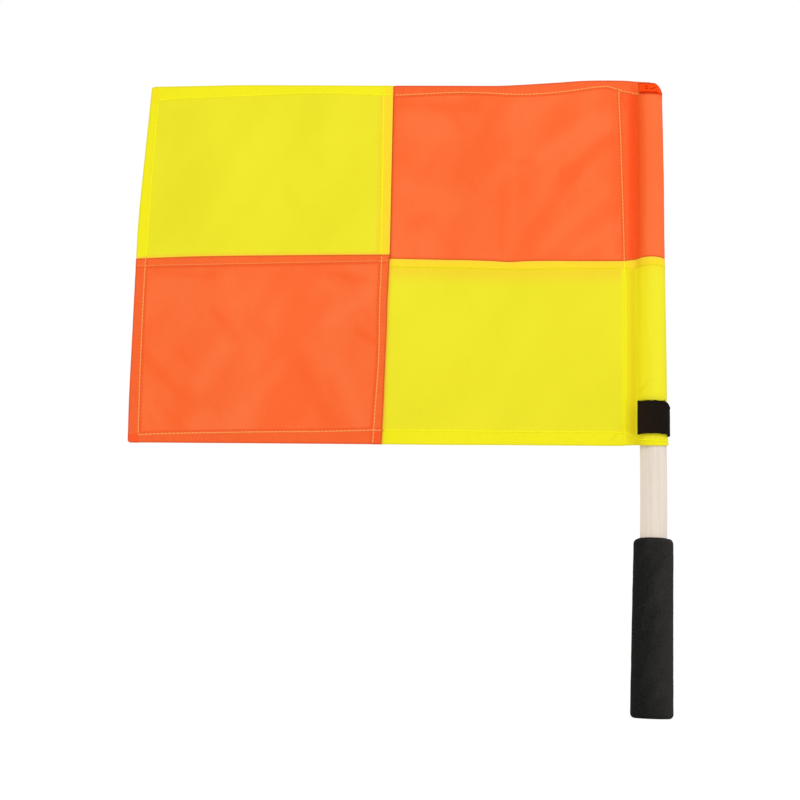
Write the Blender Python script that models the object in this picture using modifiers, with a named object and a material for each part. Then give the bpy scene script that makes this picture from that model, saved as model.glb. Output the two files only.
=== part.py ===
"""A linesman's hand flag: four sewn cloth panels in a chequer, whose hoist side is a sleeve on a dowel pole.

Metres, +Z up along the pole. The cloth spreads towards -X, and the face that a viewer sees looks towards -Y.
The origin is on the pole's axis at the middle of the foam grip, where a hand holds the flag.
"""

import math

import bmesh
import bpy

# Pole and grip
POLE_DIAMETER = 0.020
POLE_END_BEVEL = 0.0012
BARE_POLE = 0.0689  # between the grip and the cloth
GRIP_LENGTH = 0.1308
GRIP_TOP_WALL = 0.0042
GRIP_BOTTOM_WALL = 0.0052
GRIP_END_WALL = 0.005  # foam under the pole's foot
GRIP_CORNER = 0.003
GRIP_MOUTH_BEVEL = 0.0008

# Cloth
CLOTH_HEIGHT = 0.2955
CLOTH_REACH = 0.4054  # pole axis to fly edge
VERTICAL_SEAM_REACH = 0.2047  # pole axis to the seam between the fly and hoist panels
CLOTH_THICKNESS = 0.0004
FLY_EDGE_BOW = 0.0035  # how far the fly edge bellies out at half height
FLY_HEM = 0.009
TOP_HEM = 0.0082
TOP_HEM_AT_FLY = 0.0126
TOP_HEM_TAPER = 0.33  # share of the width over which the top hem narrows
BOTTOM_HEM = 0.0108
BOTTOM_HEM_AT_FLY = 0.0061
BOTTOM_HEM_TAPER = 0.4
VERTICAL_SEAM_LAP = 0.0086  # turned towards the fly edge
CROSS_SEAM_LAP = 0.0068  # turned downwards
HEM_STEP = 0.0005  # width of the ramp at a lap's inner edge

# How far each long edge or seam strays from straight, at shares of the width from the fly edge (0)
# to the sleeve's stitch line (1). The cross seam meets the vertical seam at two heights.
TOP_EDGE_STRAY = ((0, -0.0014), (0.5, -0.0012), (0.77, -0.0021), (0.87, 0.0003), (0.96, 0.0022), (1, 0.0018))
BOTTOM_EDGE_STRAY = ((0, -0.0019), (0.25, -0.0018), (0.52, -0.0008), (0.76, 0.0005), (1, 0.0019))
FLY_CROSS_SEAM_STRAY = ((0, -0.0011), (0.13, 0.0010), (0.34, 0.0025), (0.52, 0.0035))
HOIST_CROSS_SEAM_STRAY = ((0.52, 0.0), (0.65, -0.0014), (0.79, -0.0021), (0.9, -0.0017), (1, -0.0011))

# Soft ripples of the spread cloth: depth, wavelength along the width, slant over the height, phase in turns
RIPPLES = (
    (0.0024, 0.240, 0.45, 0.10),
    (0.0012, 0.118, -0.55, 0.35),
    (0.0006, 0.071, 0.90, 0.62),
)
RIPPLE_FADE = 0.070  # the ripples die out over this width before the sleeve

# Sleeve
TAIL_WIDTH = 0.012  # pole's surface to the line of stitches
TAIL_END_GAP = 0.0012  # stitch line to the sleeve's own edge, room for the cloth to swing
SLEEVE_ROW_GAP = 0.0027  # stitch line to the rows of stitches on the sleeve, room for the cloth to swing
PANEL_ROW_GAP = 0.002  # stitch line to the rows of stitches on the panels, for the same
SLEEVE_CLEARANCE = 0.00035  # pole to the sleeve's doubled hem
CREASE_RADIUS = 0.003
HEM_DIP = 0.0018  # how much lower the sleeve's lower edge is on the side away from the stitches
CLOSED_END = 0.0155  # cloth above the pole's end, sewn shut
CLOSED_END_ROUND = 0.006  # how much narrower the closed end is at its top

# End patch, closing the sleeve's top
PATCH_HEIGHT = 0.0145
PATCH_BELOW_TOP = 0.0006
PATCH_THICKNESS = 0.0004
PATCH_CLEARANCE = 0.0006  # patch to the sleeve's doubled hem, wide because both slope in above the pole
PATCH_REACH = 140.0  # degrees, either way round from the side away from the cloth
PATCH_STITCHES_ABOVE_FOOT = 0.0036

# Strap, with its angles in degrees round the pole: 0 is the side away from the cloth
STRAP_WIDTH = 0.025
STRAP_ABOVE_HEM = 0.0089  # cloth's lower edge to the strap
TAPE_THICKNESS = 0.0009
LOOP_PATCH_THICKNESS = 0.0007
LOOP_PATCH_INSET = 0.0015  # narrower than the strap by this on each side
LOOP_PATCH_FROM = 38.0
LOOP_PATCH_TO = 138.0
BAND_TO = 150.0
TAB_GAP = 0.0009  # band's front end to the tab's, along the strap
TAB_LEAVES = 125.0  # where the tab leaves the sleeve's round side and runs straight
TAB_FREE_END = 0.0058
STRAP_STITCH_INSET = 0.003
STRAP_STITCH_FROM = 70.0
STRAP_STITCH_TO = 135.0

# Threads
THREAD_RADIUS = 0.0003
SEAM_THREAD_RADIUS = 0.0004
THREAD_FROM_LAP_EDGE = 0.001
THREAD_SPACING = 0.012

# Fits and fineness
FIT_GAP = 0.0003
TURN_STEPS = 40
SLEEVE_STEPS = 26
STRAP_STEPS = 13
CREASE_STEPS = 3
CORNER_STEPS = 4
PANEL_COLUMNS = 15
PANEL_ROWS = 10

# Everything below follows from the sizes above
POLE_RADIUS = POLE_DIAMETER / 2
GRIP_TOP = GRIP_LENGTH / 2
CLOTH_BOTTOM = GRIP_TOP + BARE_POLE
STITCH_REACH = POLE_RADIUS + TAIL_WIDTH
SLEEVE_RADIUS = POLE_RADIUS + SLEEVE_CLEARANCE + CLOTH_THICKNESS
TAIL_HALF = CLOTH_THICKNESS + FIT_GAP / 2
POLE_TOP = CLOTH_HEIGHT - CLOSED_END  # above the cloth's lower edge
STRAP_BASE = SLEEVE_RADIUS + CLOTH_THICKNESS + FIT_GAP
STRAP_SURFACE = STRAP_BASE + TAPE_THICKNESS
TAB_RADIUS = STRAP_BASE + LOOP_PATCH_THICKNESS + FIT_GAP + TAPE_THICKNESS / 2
TAB_FROM = math.degrees(TAB_GAP / TAB_RADIUS)


class Body:
    """One rigid body: an empty on its joint's axis, with the body's pieces hung from it.

    The cloth, sleeve and strap are all measured from the pole's axis and the cloth's nominal lower edge.
    """

    def __init__(self, name, parts, axis_x=0.0, height=0.0, parent=None):
        self.parts = parts
        self.axis_x = axis_x
        self.empty = bpy.data.objects.new(name, None)
        self.empty.location = (axis_x, 0.0, height)
        self.empty.parent = parent.empty if parent else None
        parts.objects.link(self.empty)

    def add(self, name, data, finish):
        data.materials.append(finish)
        piece = bpy.data.objects.new(name, data)
        piece.location.x = -self.axis_x
        piece.parent = self.empty
        self.parts.objects.link(piece)
        return piece


def material(name, colour, roughness, metallic=0.0):
    made = bpy.data.materials.new(name)
    made.use_nodes = True
    shader = made.node_tree.nodes["Principled BSDF"]
    shader.inputs["Base Color"].default_value = (*colour, 1.0)
    shader.inputs["Roughness"].default_value = roughness
    shader.inputs["Metallic"].default_value = metallic
    return made


def add_sheet(body, name, finish, cells, place, doubled, layer):
    """A sheet of cloth or tape from a grid of cells, put in place by place(i, j).

    layer is one layer's thickness, and the sheet has two layers where doubled(i, j) is true.
    """
    columns, rows = cells
    bm = bmesh.new()
    bmesh.ops.create_grid(bm, x_segments=columns, y_segments=rows, size=0.5)
    twice, once = [], []
    for vertex in bm.verts:
        i = round((vertex.co.x + 0.5) * columns)
        j = round((vertex.co.y + 0.5) * rows)
        vertex.co = place(i, j)
        (twice if doubled(i, j) else once).append(vertex.index)
    mesh = bpy.data.meshes.new(name)
    bm.to_mesh(mesh)
    bm.free()
    mesh.shade_smooth()
    sheet = body.add(name, mesh, finish)
    layers = sheet.vertex_groups.new(name="layers")
    layers.add(twice, 1.0, "REPLACE")
    layers.add(once, 0.5, "REPLACE")
    wall = sheet.modifiers.new("thickness", "SOLIDIFY")
    wall.thickness = 2 * layer
    wall.offset = 0.0
    wall.vertex_group = layers.name


def add_thread(body, name, finish, points, radius=THREAD_RADIUS, closed=False):
    curve = bpy.data.curves.new(name, "CURVE")
    curve.dimensions = "3D"
    curve.bevel_depth = radius
    curve.bevel_resolution = 1
    curve.use_fill_caps = True
    spline = curve.splines.new("POLY")
    spline.points.add(len(points) - 1)
    for point, place in zip(spline.points, points):
        point.co = (*place, 1.0)
    spline.use_cyclic_u = closed
    body.add(name, curve, finish)


def add_turned(body, name, finish, outline):
    """A solid of revolution about the pole's axis, from an outline that runs down its outer side."""
    mesh = bpy.data.meshes.new(name)
    mesh.from_pydata([(r, 0.0, z) for r, z in outline], [(k, k + 1) for k in range(len(outline) - 1)], [])
    screw = body.add(name, mesh, finish).modifiers.new("turn", "SCREW")
    screw.steps = TURN_STEPS
    screw.render_steps = TURN_STEPS
    screw.use_merge_vertices = True
    screw.merge_threshold = 0.00001
    screw.use_smooth_shade = True


def blend(low, high, share):
    return low + (high - low) * share


def smooth_step(value):
    value = min(max(value, 0.0), 1.0)
    return value * value * (3 - 2 * value)


def arc(radius, start, end, steps, centre=(0.0, 0.0)):
    """Points along an arc, from and to an angle in degrees."""
    angles = [math.radians(blend(start, end, k / steps)) for k in range(steps + 1)]
    return [(centre[0] + radius * math.cos(a), centre[1] + radius * math.sin(a)) for a in angles]


def stray(points, x):
    """The smooth curve through a few (share of width, height) pairs, at a distance x from the pole's axis."""
    share = (CLOTH_REACH + x) / (CLOTH_REACH - STITCH_REACH)
    share = min(max(share, points[0][0]), points[-1][0])
    for (x0, y0), (x1, y1) in zip(points, points[1:]):
        if share <= x1:
            return blend(y0, y1, smooth_step((share - x0) / (x1 - x0)))
    return points[-1][1]


def top_edge(x):
    return CLOTH_HEIGHT + stray(TOP_EDGE_STRAY, x)


def bottom_edge(x):
    return stray(BOTTOM_EDGE_STRAY, x)


def fly_cross_seam(x):
    return CLOTH_HEIGHT / 2 + stray(FLY_CROSS_SEAM_STRAY, x)


def hoist_cross_seam(x):
    return CLOTH_HEIGHT / 2 + stray(HOIST_CROSS_SEAM_STRAY, x)


def hem_width(x, at_fly, usual, taper):
    share = (CLOTH_REACH + x) / (CLOTH_REACH - STITCH_REACH)
    return blend(at_fly, usual, min(share / taper, 1.0))


def top_hem(x):
    return hem_width(x, TOP_HEM_AT_FLY, TOP_HEM, TOP_HEM_TAPER)


def bottom_hem(x):
    return hem_width(x, BOTTOM_HEM_AT_FLY, BOTTOM_HEM, BOTTOM_HEM_TAPER)


def cross_lap(x):
    return CROSS_SEAM_LAP


def on_cloth(x, z, forward=0.0):
    """The flat position (x, z) on the cloth, after the fly edge's bow and the ripples.

    forward is how far the point lies in front of the cloth, towards the viewer.
    """
    past_seam = max(0.0, -VERTICAL_SEAM_REACH - x) / (CLOTH_REACH - VERTICAL_SEAM_REACH)
    from_middle = 2 * z / CLOTH_HEIGHT - 1
    bow = FLY_EDGE_BOW * past_seam * (1 - from_middle**2)
    out = -STITCH_REACH - x
    wave = sum(
        depth * math.sin(2 * math.pi * (out / length + slant * z / CLOTH_HEIGHT + phase))
        for depth, length, slant, phase in RIPPLES
    )
    return (x - bow, wave * smooth_step(out / RIPPLE_FADE) - forward, z)


def lines_between(low, high, low_lap, high_lap, cells):
    """Grid lines from low to high, with a close pair where each doubled lap ends."""
    start = [low, low + low_lap, low + low_lap + HEM_STEP] if low_lap else [low]
    end = [high - high_lap - HEM_STEP, high - high_lap, high] if high_lap else [high]
    inner = [blend(start[-1], end[0], k / cells) for k in range(1, cells)]
    return start + inner + end


def add_panel(body, name, finish, sides, side_laps, edges, edge_laps):
    """One sewn panel, two layers thick in the laps along its sides and its lower and upper edges.

    Edges and their laps are functions of x. A lap of 0, or of None on an edge, is left single.
    """
    low_edge, high_edge = edges
    left_lap, right_lap = side_laps
    low_lap, high_lap = edge_laps
    columns = lines_between(*sides, left_lap, right_lap, PANEL_COLUMNS)

    def heights(x):
        low, high = low_edge(x) + FIT_GAP / 2, high_edge(x) - FIT_GAP / 2
        return lines_between(low, high, low_lap and low_lap(x), high_lap and high_lap(x), PANEL_ROWS)

    rows = [heights(x) for x in columns]
    last_column, last_row = len(columns) - 1, len(rows[0]) - 1

    def doubled(i, j):
        in_side_lap = (left_lap and i <= 1) or (right_lap and i >= last_column - 1)
        in_edge_lap = (low_lap and j <= 1) or (high_lap and j >= last_row - 1)
        return bool(in_side_lap or in_edge_lap)

    def place(i, j):
        return on_cloth(columns[i], rows[i][j])

    add_sheet(body, name, finish, (last_column, last_row), place, doubled, CLOTH_THICKNESS)


def sleeve_plan(outward=0.0, end_gap=TAIL_END_GAP):
    """The sleeve's cloth in plan, from the viewer's side of its flat part round the pole to the back.

    outward is how far the piece lies outside the cloth, and end_gap how far it ends from the stitch line.
    """
    radius, half, crease = SLEEVE_RADIUS + outward, TAIL_HALF + outward, CREASE_RADIUS - outward
    crease_x = -math.sqrt((radius + crease) ** 2 - (half + crease) ** 2)
    meets = math.degrees(math.atan2(half + crease, -crease_x))
    front = [(-STITCH_REACH + end_gap, -half)]
    front += arc(crease, 90.0, meets, CREASE_STEPS, (crease_x, -half - crease))
    back = [(x, -y) for x, y in reversed(front)]
    return front + arc(radius, meets - 180.0, 180.0 - meets, SLEEVE_STEPS)[1:-1] + back


def closed_end(x, y, z, outward=0.0):
    """Draws a plan point in towards the cloth's plane above the pole's end, where the sleeve is sewn shut.

    outward is how far the piece lies outside the sleeve's own cloth.
    """
    start = POLE_TOP + FIT_GAP
    share = min(max((z - start) / (CLOTH_HEIGHT - start), 0.0), 1.0)
    half = min(TAIL_HALF + outward, abs(y))
    y_in = math.copysign(half + (abs(y) - half) * (1 - share), y)
    x_in = x - CLOSED_END_ROUND * share**3 * max(x, 0.0) / (SLEEVE_RADIUS + outward)
    return (x_in, y_in, z)


def add_upright(body, name, finish, plan, rows, layer, outward=0.0):
    """A strip that stands on edge: its plan carried up through rows.

    Each row is its height, as a function of the share along the plan, and whether it is two layers thick.
    """
    last = len(plan) - 1

    def place(i, j):
        height, _ = rows[j]
        return closed_end(*plan[i], height(i / last), outward)

    def doubled(i, j):
        return rows[j][1]

    add_sheet(body, name, finish, (last, len(rows) - 1), place, doubled, layer)


def level(z):
    return lambda share: z


def between(low, high, share):
    return lambda along: blend(low(along), high(along), share)


def sleeve_foot(share):
    """The sleeve's lower edge, lowest on the side away from the stitches."""
    return bottom_edge(-STITCH_REACH) - HEM_DIP * math.sin(math.pi * share)


def sleeve_head(share):
    """The sleeve's upper edge, highest at the stitches."""
    return blend(top_edge(-STITCH_REACH), CLOTH_HEIGHT, math.sin(math.pi * share))


def add_pole(body, wood):
    foot = -GRIP_TOP + GRIP_END_WALL + FIT_GAP
    head = CLOTH_BOTTOM + POLE_TOP
    inner = POLE_RADIUS - POLE_END_BEVEL
    outline = [(0.0, head), (inner, head), (POLE_RADIUS, head - POLE_END_BEVEL)]
    outline += [(POLE_RADIUS, foot + POLE_END_BEVEL), (inner, foot), (0.0, foot)]
    add_turned(body, "pole", wood, outline)


def add_grip(body, foam):
    bore = POLE_RADIUS + FIT_GAP
    floor = -GRIP_TOP + GRIP_END_WALL
    mouth = GRIP_TOP - GRIP_MOUTH_BEVEL
    outline = [(0.0, floor), (bore, floor), (bore, mouth), (bore + GRIP_MOUTH_BEVEL, GRIP_TOP)]
    shoulder = (bore + GRIP_TOP_WALL - GRIP_CORNER, GRIP_TOP - GRIP_CORNER)
    outline += arc(GRIP_CORNER, 90.0, 0.0, CORNER_STEPS, shoulder)
    heel = (bore + GRIP_BOTTOM_WALL - GRIP_CORNER, -GRIP_TOP + GRIP_CORNER)
    outline += arc(GRIP_CORNER, 0.0, -90.0, CORNER_STEPS, heel)
    outline += [(0.0, -GRIP_TOP)]
    add_turned(body, "foam_grip", foam, outline)


def add_sleeve(body, orange, yellow):
    plan = sleeve_plan()
    seam = hoist_cross_seam(-STITCH_REACH)
    hem_edge = bottom_edge(-STITCH_REACH) + BOTTOM_HEM
    hem_ramp = level(hem_edge + HEM_STEP)
    lap_ramp = level(seam - CROSS_SEAM_LAP - HEM_STEP)
    rows = [(sleeve_foot, True), (level(hem_edge), True), (hem_ramp, False)]
    rows += [(between(hem_ramp, lap_ramp, share), False) for share in (0.33, 0.67, 1.0)]
    rows += [(level(seam - CROSS_SEAM_LAP), True), (level(seam - FIT_GAP / 2), True)]
    add_upright(body, "lower_sleeve", yellow, plan, rows, CLOTH_THICKNESS)

    seam_edge = level(seam + FIT_GAP / 2)
    shoulder = level(POLE_TOP + FIT_GAP)
    hem_ramp = level(CLOTH_HEIGHT - TOP_HEM - HEM_STEP)
    hem_edge = level(CLOTH_HEIGHT - TOP_HEM)
    rows = [(between(seam_edge, shoulder, share), False) for share in (0.0, 0.33, 0.67, 1.0)]
    rows += [(between(shoulder, hem_ramp, share), False) for share in (0.5, 1.0)]
    rows += [(between(hem_edge, sleeve_head, share), True) for share in (0.0, 0.35, 0.65, 0.85, 1.0)]
    add_upright(body, "upper_sleeve", orange, plan, rows, CLOTH_THICKNESS)


def add_sleeve_threads(body, orange_thread, yellow_thread):
    stitches = -STITCH_REACH
    seam = steps_between(bottom_edge(stitches) + FIT_GAP, top_edge(stitches) - FIT_GAP)
    row = [(stitches, 0.0, z) for z in seam]
    add_thread(body, "sleeve_seam_thread", orange_thread, row, SEAM_THREAD_RADIUS)

    on_hem = CLOTH_THICKNESS + FIT_GAP + THREAD_RADIUS
    plan = sleeve_plan(on_hem, SLEEVE_ROW_GAP)
    height = hoist_cross_seam(stitches) - CROSS_SEAM_LAP + THREAD_FROM_LAP_EDGE
    add_thread(body, "sleeve_cross_seam_thread", yellow_thread, [(x, y, height) for x, y in plan])

    # The strap covers the bottom hem's row round the pole, so only its ends on the two flat sides are made
    flat = plan[: 2 + CREASE_STEPS]
    height = bottom_edge(stitches) + BOTTOM_HEM - THREAD_FROM_LAP_EDGE
    add_thread(body, "sleeve_hem_thread_front", yellow_thread, [(x, y, height) for x, y in flat])
    add_thread(body, "sleeve_hem_thread_back", yellow_thread, [(x, -y, height) for x, y in flat])

    height = CLOTH_HEIGHT - TOP_HEM + THREAD_FROM_LAP_EDGE
    row = [closed_end(x, y, height, on_hem) for x, y in flat]
    add_thread(body, "sleeve_top_hem_thread", orange_thread, row)


def add_end_patch(body, cloth, thread):
    outward = CLOTH_THICKNESS + PATCH_CLEARANCE + PATCH_THICKNESS / 2
    plan = arc(SLEEVE_RADIUS + outward, -PATCH_REACH, PATCH_REACH, SLEEVE_STEPS)
    foot, head = level(CLOTH_HEIGHT - PATCH_HEIGHT), level(CLOTH_HEIGHT - PATCH_BELOW_TOP)
    rows = [(between(foot, head, share), False) for share in (0.0, 0.3, 0.55, 0.75, 0.9, 1.0)]
    add_upright(body, "end_patch", cloth, plan, rows, PATCH_THICKNESS, outward)

    outward += PATCH_THICKNESS / 2 + FIT_GAP + THREAD_RADIUS
    height = CLOTH_HEIGHT - PATCH_HEIGHT + PATCH_STITCHES_ABOVE_FOOT
    across_front = arc(SLEEVE_RADIUS + outward, -PATCH_REACH, PATCH_REACH - 180.0, STRAP_STEPS)
    row = [closed_end(x, y, height, outward) for x, y in across_front]
    add_thread(body, "end_patch_thread", thread, row)


def add_strap(sleeve, tab, tape, loop_tape, thread):
    low, high = STRAP_ABOVE_HEM, STRAP_ABOVE_HEM + STRAP_WIDTH
    rows = [(level(low), False), (level(high), False)]
    band = arc(STRAP_BASE + TAPE_THICKNESS / 2, 0.0, BAND_TO, STRAP_STEPS)
    add_upright(sleeve, "strap_band", tape, band, rows, TAPE_THICKNESS)

    patch = arc(STRAP_BASE + LOOP_PATCH_THICKNESS / 2, -LOOP_PATCH_FROM, -LOOP_PATCH_TO, STRAP_STEPS)
    patch_rows = [(level(low + LOOP_PATCH_INSET), False), (level(high - LOOP_PATCH_INSET), False)]
    add_upright(sleeve, "strap_loop_patch", loop_tape, patch, patch_rows, LOOP_PATCH_THICKNESS)

    round_part = arc(TAB_RADIUS, -TAB_FROM, -TAB_LEAVES, STRAP_STEPS)
    heading = math.radians(-TAB_LEAVES - 90.0)
    x, y = round_part[-1]
    free_end = (x + TAB_FREE_END * math.cos(heading), y + TAB_FREE_END * math.sin(heading))
    add_upright(tab, "strap_tab", tape, round_part + [free_end], rows, TAPE_THICKNESS)

    on_band = STRAP_SURFACE + FIT_GAP + THREAD_RADIUS
    row = arc(on_band, STRAP_STITCH_FROM, STRAP_STITCH_TO, STRAP_STEPS)
    box = [(x, y, low + STRAP_STITCH_INSET) for x, y in row]
    box += [(x, y, high - STRAP_STITCH_INSET) for x, y in reversed(row)]
    add_thread(sleeve, "strap_thread", thread, box, closed=True)


def add_panels(body, orange, yellow):
    seam = -VERTICAL_SEAM_REACH
    fly_side = (-CLOTH_REACH, seam - FIT_GAP / 2)
    hoist_side = (seam + FIT_GAP / 2, -STITCH_REACH - SEAM_THREAD_RADIUS - FIT_GAP)
    fly_laps = (FLY_HEM, VERTICAL_SEAM_LAP)
    upper_laps, lower_laps = (None, top_hem), (bottom_hem, cross_lap)
    upper, lower = (fly_cross_seam, top_edge), (bottom_edge, fly_cross_seam)
    add_panel(body, "upper_fly_panel", yellow, fly_side, fly_laps, upper, upper_laps)
    add_panel(body, "lower_fly_panel", orange, fly_side, fly_laps, lower, lower_laps)
    upper, lower = (hoist_cross_seam, top_edge), (bottom_edge, hoist_cross_seam)
    add_panel(body, "upper_hoist_panel", orange, hoist_side, (0.0, 0.0), upper, upper_laps)
    add_panel(body, "lower_hoist_panel", yellow, hoist_side, (0.0, 0.0), lower, lower_laps)


def steps_between(low, high):
    count = max(2, round(abs(high - low) / THREAD_SPACING))
    return [blend(low, high, k / count) for k in range(count + 1)]


def add_panel_threads(body, orange_thread, yellow_thread):
    """The rows of stitches on the panels. Where two cross, one stops short or lies one thread further out."""
    on_lap = CLOTH_THICKNESS + FIT_GAP + THREAD_RADIUS
    on_thread = on_lap + 2 * THREAD_RADIUS + FIT_GAP
    clear = 2 * THREAD_RADIUS + FIT_GAP
    fly_row = -CLOTH_REACH + FLY_HEM - THREAD_FROM_LAP_EDGE
    seam_row = -VERTICAL_SEAM_REACH - VERTICAL_SEAM_LAP + THREAD_FROM_LAP_EDGE
    seam_end = VERTICAL_SEAM_REACH + FIT_GAP
    hoist_end = -STITCH_REACH - PANEL_ROW_GAP

    def along(seam, start, end):
        return [on_cloth(x, seam(x), on_lap) for x in steps_between(start, end)]

    def upright(x, low, high, forward):
        return [on_cloth(x, z, forward) for z in steps_between(low, high)]

    def top_row(x):
        return top_edge(x) - top_hem(x) + THREAD_FROM_LAP_EDGE

    def bottom_row(x):
        return bottom_edge(x) + bottom_hem(x) - THREAD_FROM_LAP_EDGE

    def fly_lap_row(x):
        return fly_cross_seam(x) - CROSS_SEAM_LAP + THREAD_FROM_LAP_EDGE

    def hoist_lap_row(x):
        return hoist_cross_seam(x) - CROSS_SEAM_LAP + THREAD_FROM_LAP_EDGE

    row = upright(fly_row, bottom_row(fly_row) + clear, top_row(fly_row) - clear, on_lap)
    add_thread(body, "fly_hem_thread", yellow_thread, row)
    add_thread(body, "top_hem_thread", yellow_thread, along(top_row, fly_row, hoist_end))
    add_thread(body, "bottom_hem_thread", orange_thread, along(bottom_row, fly_row, hoist_end))
    row = upright(seam_row, bottom_edge(seam_row) + FIT_GAP, top_row(seam_row) - clear, on_thread)
    add_thread(body, "vertical_seam_thread", orange_thread, row)
    row = along(fly_lap_row, fly_row + clear, -seam_end)
    add_thread(body, "fly_cross_seam_thread", orange_thread, row)
    row = along(hoist_lap_row, -seam_end + 2 * FIT_GAP, hoist_end)
    add_thread(body, "hoist_cross_seam_thread", yellow_thread, row)


def main():
    for old in list(bpy.data.objects):
        bpy.data.objects.remove(old, do_unlink=True)
    parts = bpy.data.collections.new("linesman_flag")
    bpy.context.scene.collection.children.link(parts)

    wood = material("pale wood", (0.71, 0.61, 0.53), 0.45)
    foam = material("black foam", (0.022, 0.022, 0.020), 0.85)
    orange = material("orange cloth", (1.0, 0.16, 0.035), 0.6)
    yellow = material("yellow cloth", (0.86, 0.80, 0.027), 0.6)
    deep_orange = material("orange patch", (0.83, 0.06, 0.01), 0.6)
    orange_thread = material("light orange thread", (1.0, 0.35, 0.09), 0.5)
    yellow_thread = material("yellow thread", (1.0, 0.9, 0.02), 0.5)
    tape = material("black tape", (0.018, 0.013, 0.013), 0.8)
    loop_tape = material("black looped tape", (0.02, 0.015, 0.015), 0.95)
    black_thread = material("black thread", (0.015, 0.012, 0.012), 0.6)

    pole = Body("hand_hold", parts)
    sleeve = Body("sleeve_slide_axis", parts, height=CLOTH_BOTTOM, parent=pole)
    cloth = Body("cloth_swing_axis", parts, axis_x=-STITCH_REACH, parent=sleeve)
    tab = Body("tab_peel_axis", parts, axis_x=STRAP_SURFACE, parent=sleeve)

    add_pole(pole, wood)
    add_grip(pole, foam)
    add_sleeve(sleeve, orange, yellow)
    add_sleeve_threads(sleeve, orange_thread, yellow_thread)
    add_end_patch(sleeve, deep_orange, orange_thread)
    add_strap(sleeve, tab, tape, loop_tape, black_thread)
    add_panels(cloth, orange, yellow)
    add_panel_threads(cloth, orange_thread, yellow_thread)


main()
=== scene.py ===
"""Looks of a linesman's hand flag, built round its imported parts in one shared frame.

Metres, +Z up along the pole. The cloth spreads towards -X, and its shown face looks towards -Y.
"""

import bisect
import math

import bmesh
import bpy
from mathutils import Matrix, Vector, noise


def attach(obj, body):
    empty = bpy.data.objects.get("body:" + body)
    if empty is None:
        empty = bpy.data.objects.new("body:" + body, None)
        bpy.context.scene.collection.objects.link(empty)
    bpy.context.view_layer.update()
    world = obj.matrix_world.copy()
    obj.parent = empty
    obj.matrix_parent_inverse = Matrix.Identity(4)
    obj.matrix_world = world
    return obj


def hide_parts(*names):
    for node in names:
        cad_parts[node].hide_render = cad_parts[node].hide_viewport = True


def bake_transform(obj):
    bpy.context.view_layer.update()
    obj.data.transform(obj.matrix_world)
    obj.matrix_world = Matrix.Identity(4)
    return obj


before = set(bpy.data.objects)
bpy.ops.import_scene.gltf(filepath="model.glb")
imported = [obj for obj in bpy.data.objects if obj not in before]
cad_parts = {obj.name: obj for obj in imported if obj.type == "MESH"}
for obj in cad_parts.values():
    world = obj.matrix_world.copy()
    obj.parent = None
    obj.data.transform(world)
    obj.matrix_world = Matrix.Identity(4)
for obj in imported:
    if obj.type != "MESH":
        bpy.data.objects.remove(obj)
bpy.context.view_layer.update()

# Camera
# It stands a metre in front of the flag, level with the grip, and looks up at the cloth through a lens
# of about 60 mm.
CAMERA_AT = Vector((-0.107552, -1.006125, -0.031287))
CAMERA_TURNS = ((0.0841637733, "Z"), (0.19509666, "X"), (-0.0308495486, "Y"), (math.pi / 2, "X"))
lens = bpy.data.cameras.new("camera")
lens.lens = 59.85
lens.sensor_width = 36.0
camera = bpy.data.objects.new("camera", lens)
bpy.context.collection.objects.link(camera)
camera.matrix_world = Matrix.Translation(CAMERA_AT)
for angle, axis in CAMERA_TURNS:
    camera.matrix_world = camera.matrix_world @ Matrix.Rotation(angle, 4, axis)
bpy.context.scene.camera = camera

# Pole
# A planed and sanded dowel of pale hardwood, 20 mm thick, with eased ends. It has bowed by a millimetre.
# The cloth and the grip cover it but for a hand's width between them.
POLE_RADIUS = 0.010
POLE_FOOT = -0.0601
POLE_HEAD = 0.4143
POLE_EASING = 0.0012
POLE_STEPS = 80
POLE_SIDES = 96


def paint(red, green, blue):
    """A colour as it looks on paper, 0 to 255, as the light it gives back."""
    shares = (part / 255 for part in (red, green, blue))
    return (*(s / 12.92 if s <= 0.04045 else ((s + 0.055) / 1.055) ** 2.4 for s in shares), 1.0)


class Signal:
    """What a shader node gives, so that a finish can be written as sums, such as 1 - mask * 0.3."""

    def __init__(self, nodes, socket):
        self.nodes = nodes
        self.socket = socket

    def sum(self, operation, *numbers):
        return self.nodes.node("ShaderNodeMath", {"operation": operation}, numbers)

    def __add__(self, other):
        return self.sum("ADD", self, other)

    def __sub__(self, other):
        return self.sum("SUBTRACT", self, other)

    def __rsub__(self, other):
        return self.sum("SUBTRACT", other, self)

    def __mul__(self, other):
        return self.sum("MULTIPLY", self, other)

    __radd__ = __add__
    __rmul__ = __mul__

    def past(self, low, high):
        """0 up to low, 1 from high, and a soft step between."""
        return self.nodes.node(
            "ShaderNodeMapRange",
            {"interpolation_type": "SMOOTHSTEP"},
            {"Value": self, "From Min": low, "From Max": high},
        )


class Nodes:
    """A tree of shader nodes in the making."""

    def __init__(self, owner):
        owner.use_nodes = True
        self.tree = owner.node_tree

    def join(self, socket, value):
        if isinstance(value, Signal):
            self.tree.links.new(value.socket, socket)
        else:
            socket.default_value = value

    def node(self, kind, settings=None, inputs=(), output=0):
        made = self.tree.nodes.new(kind)
        for name, value in (settings or {}).items():
            setattr(made, name, value)
        for socket, value in inputs.items() if isinstance(inputs, dict) else enumerate(inputs):
            self.join(made.inputs[socket], value)
        return Signal(self, made.outputs[output])


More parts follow.
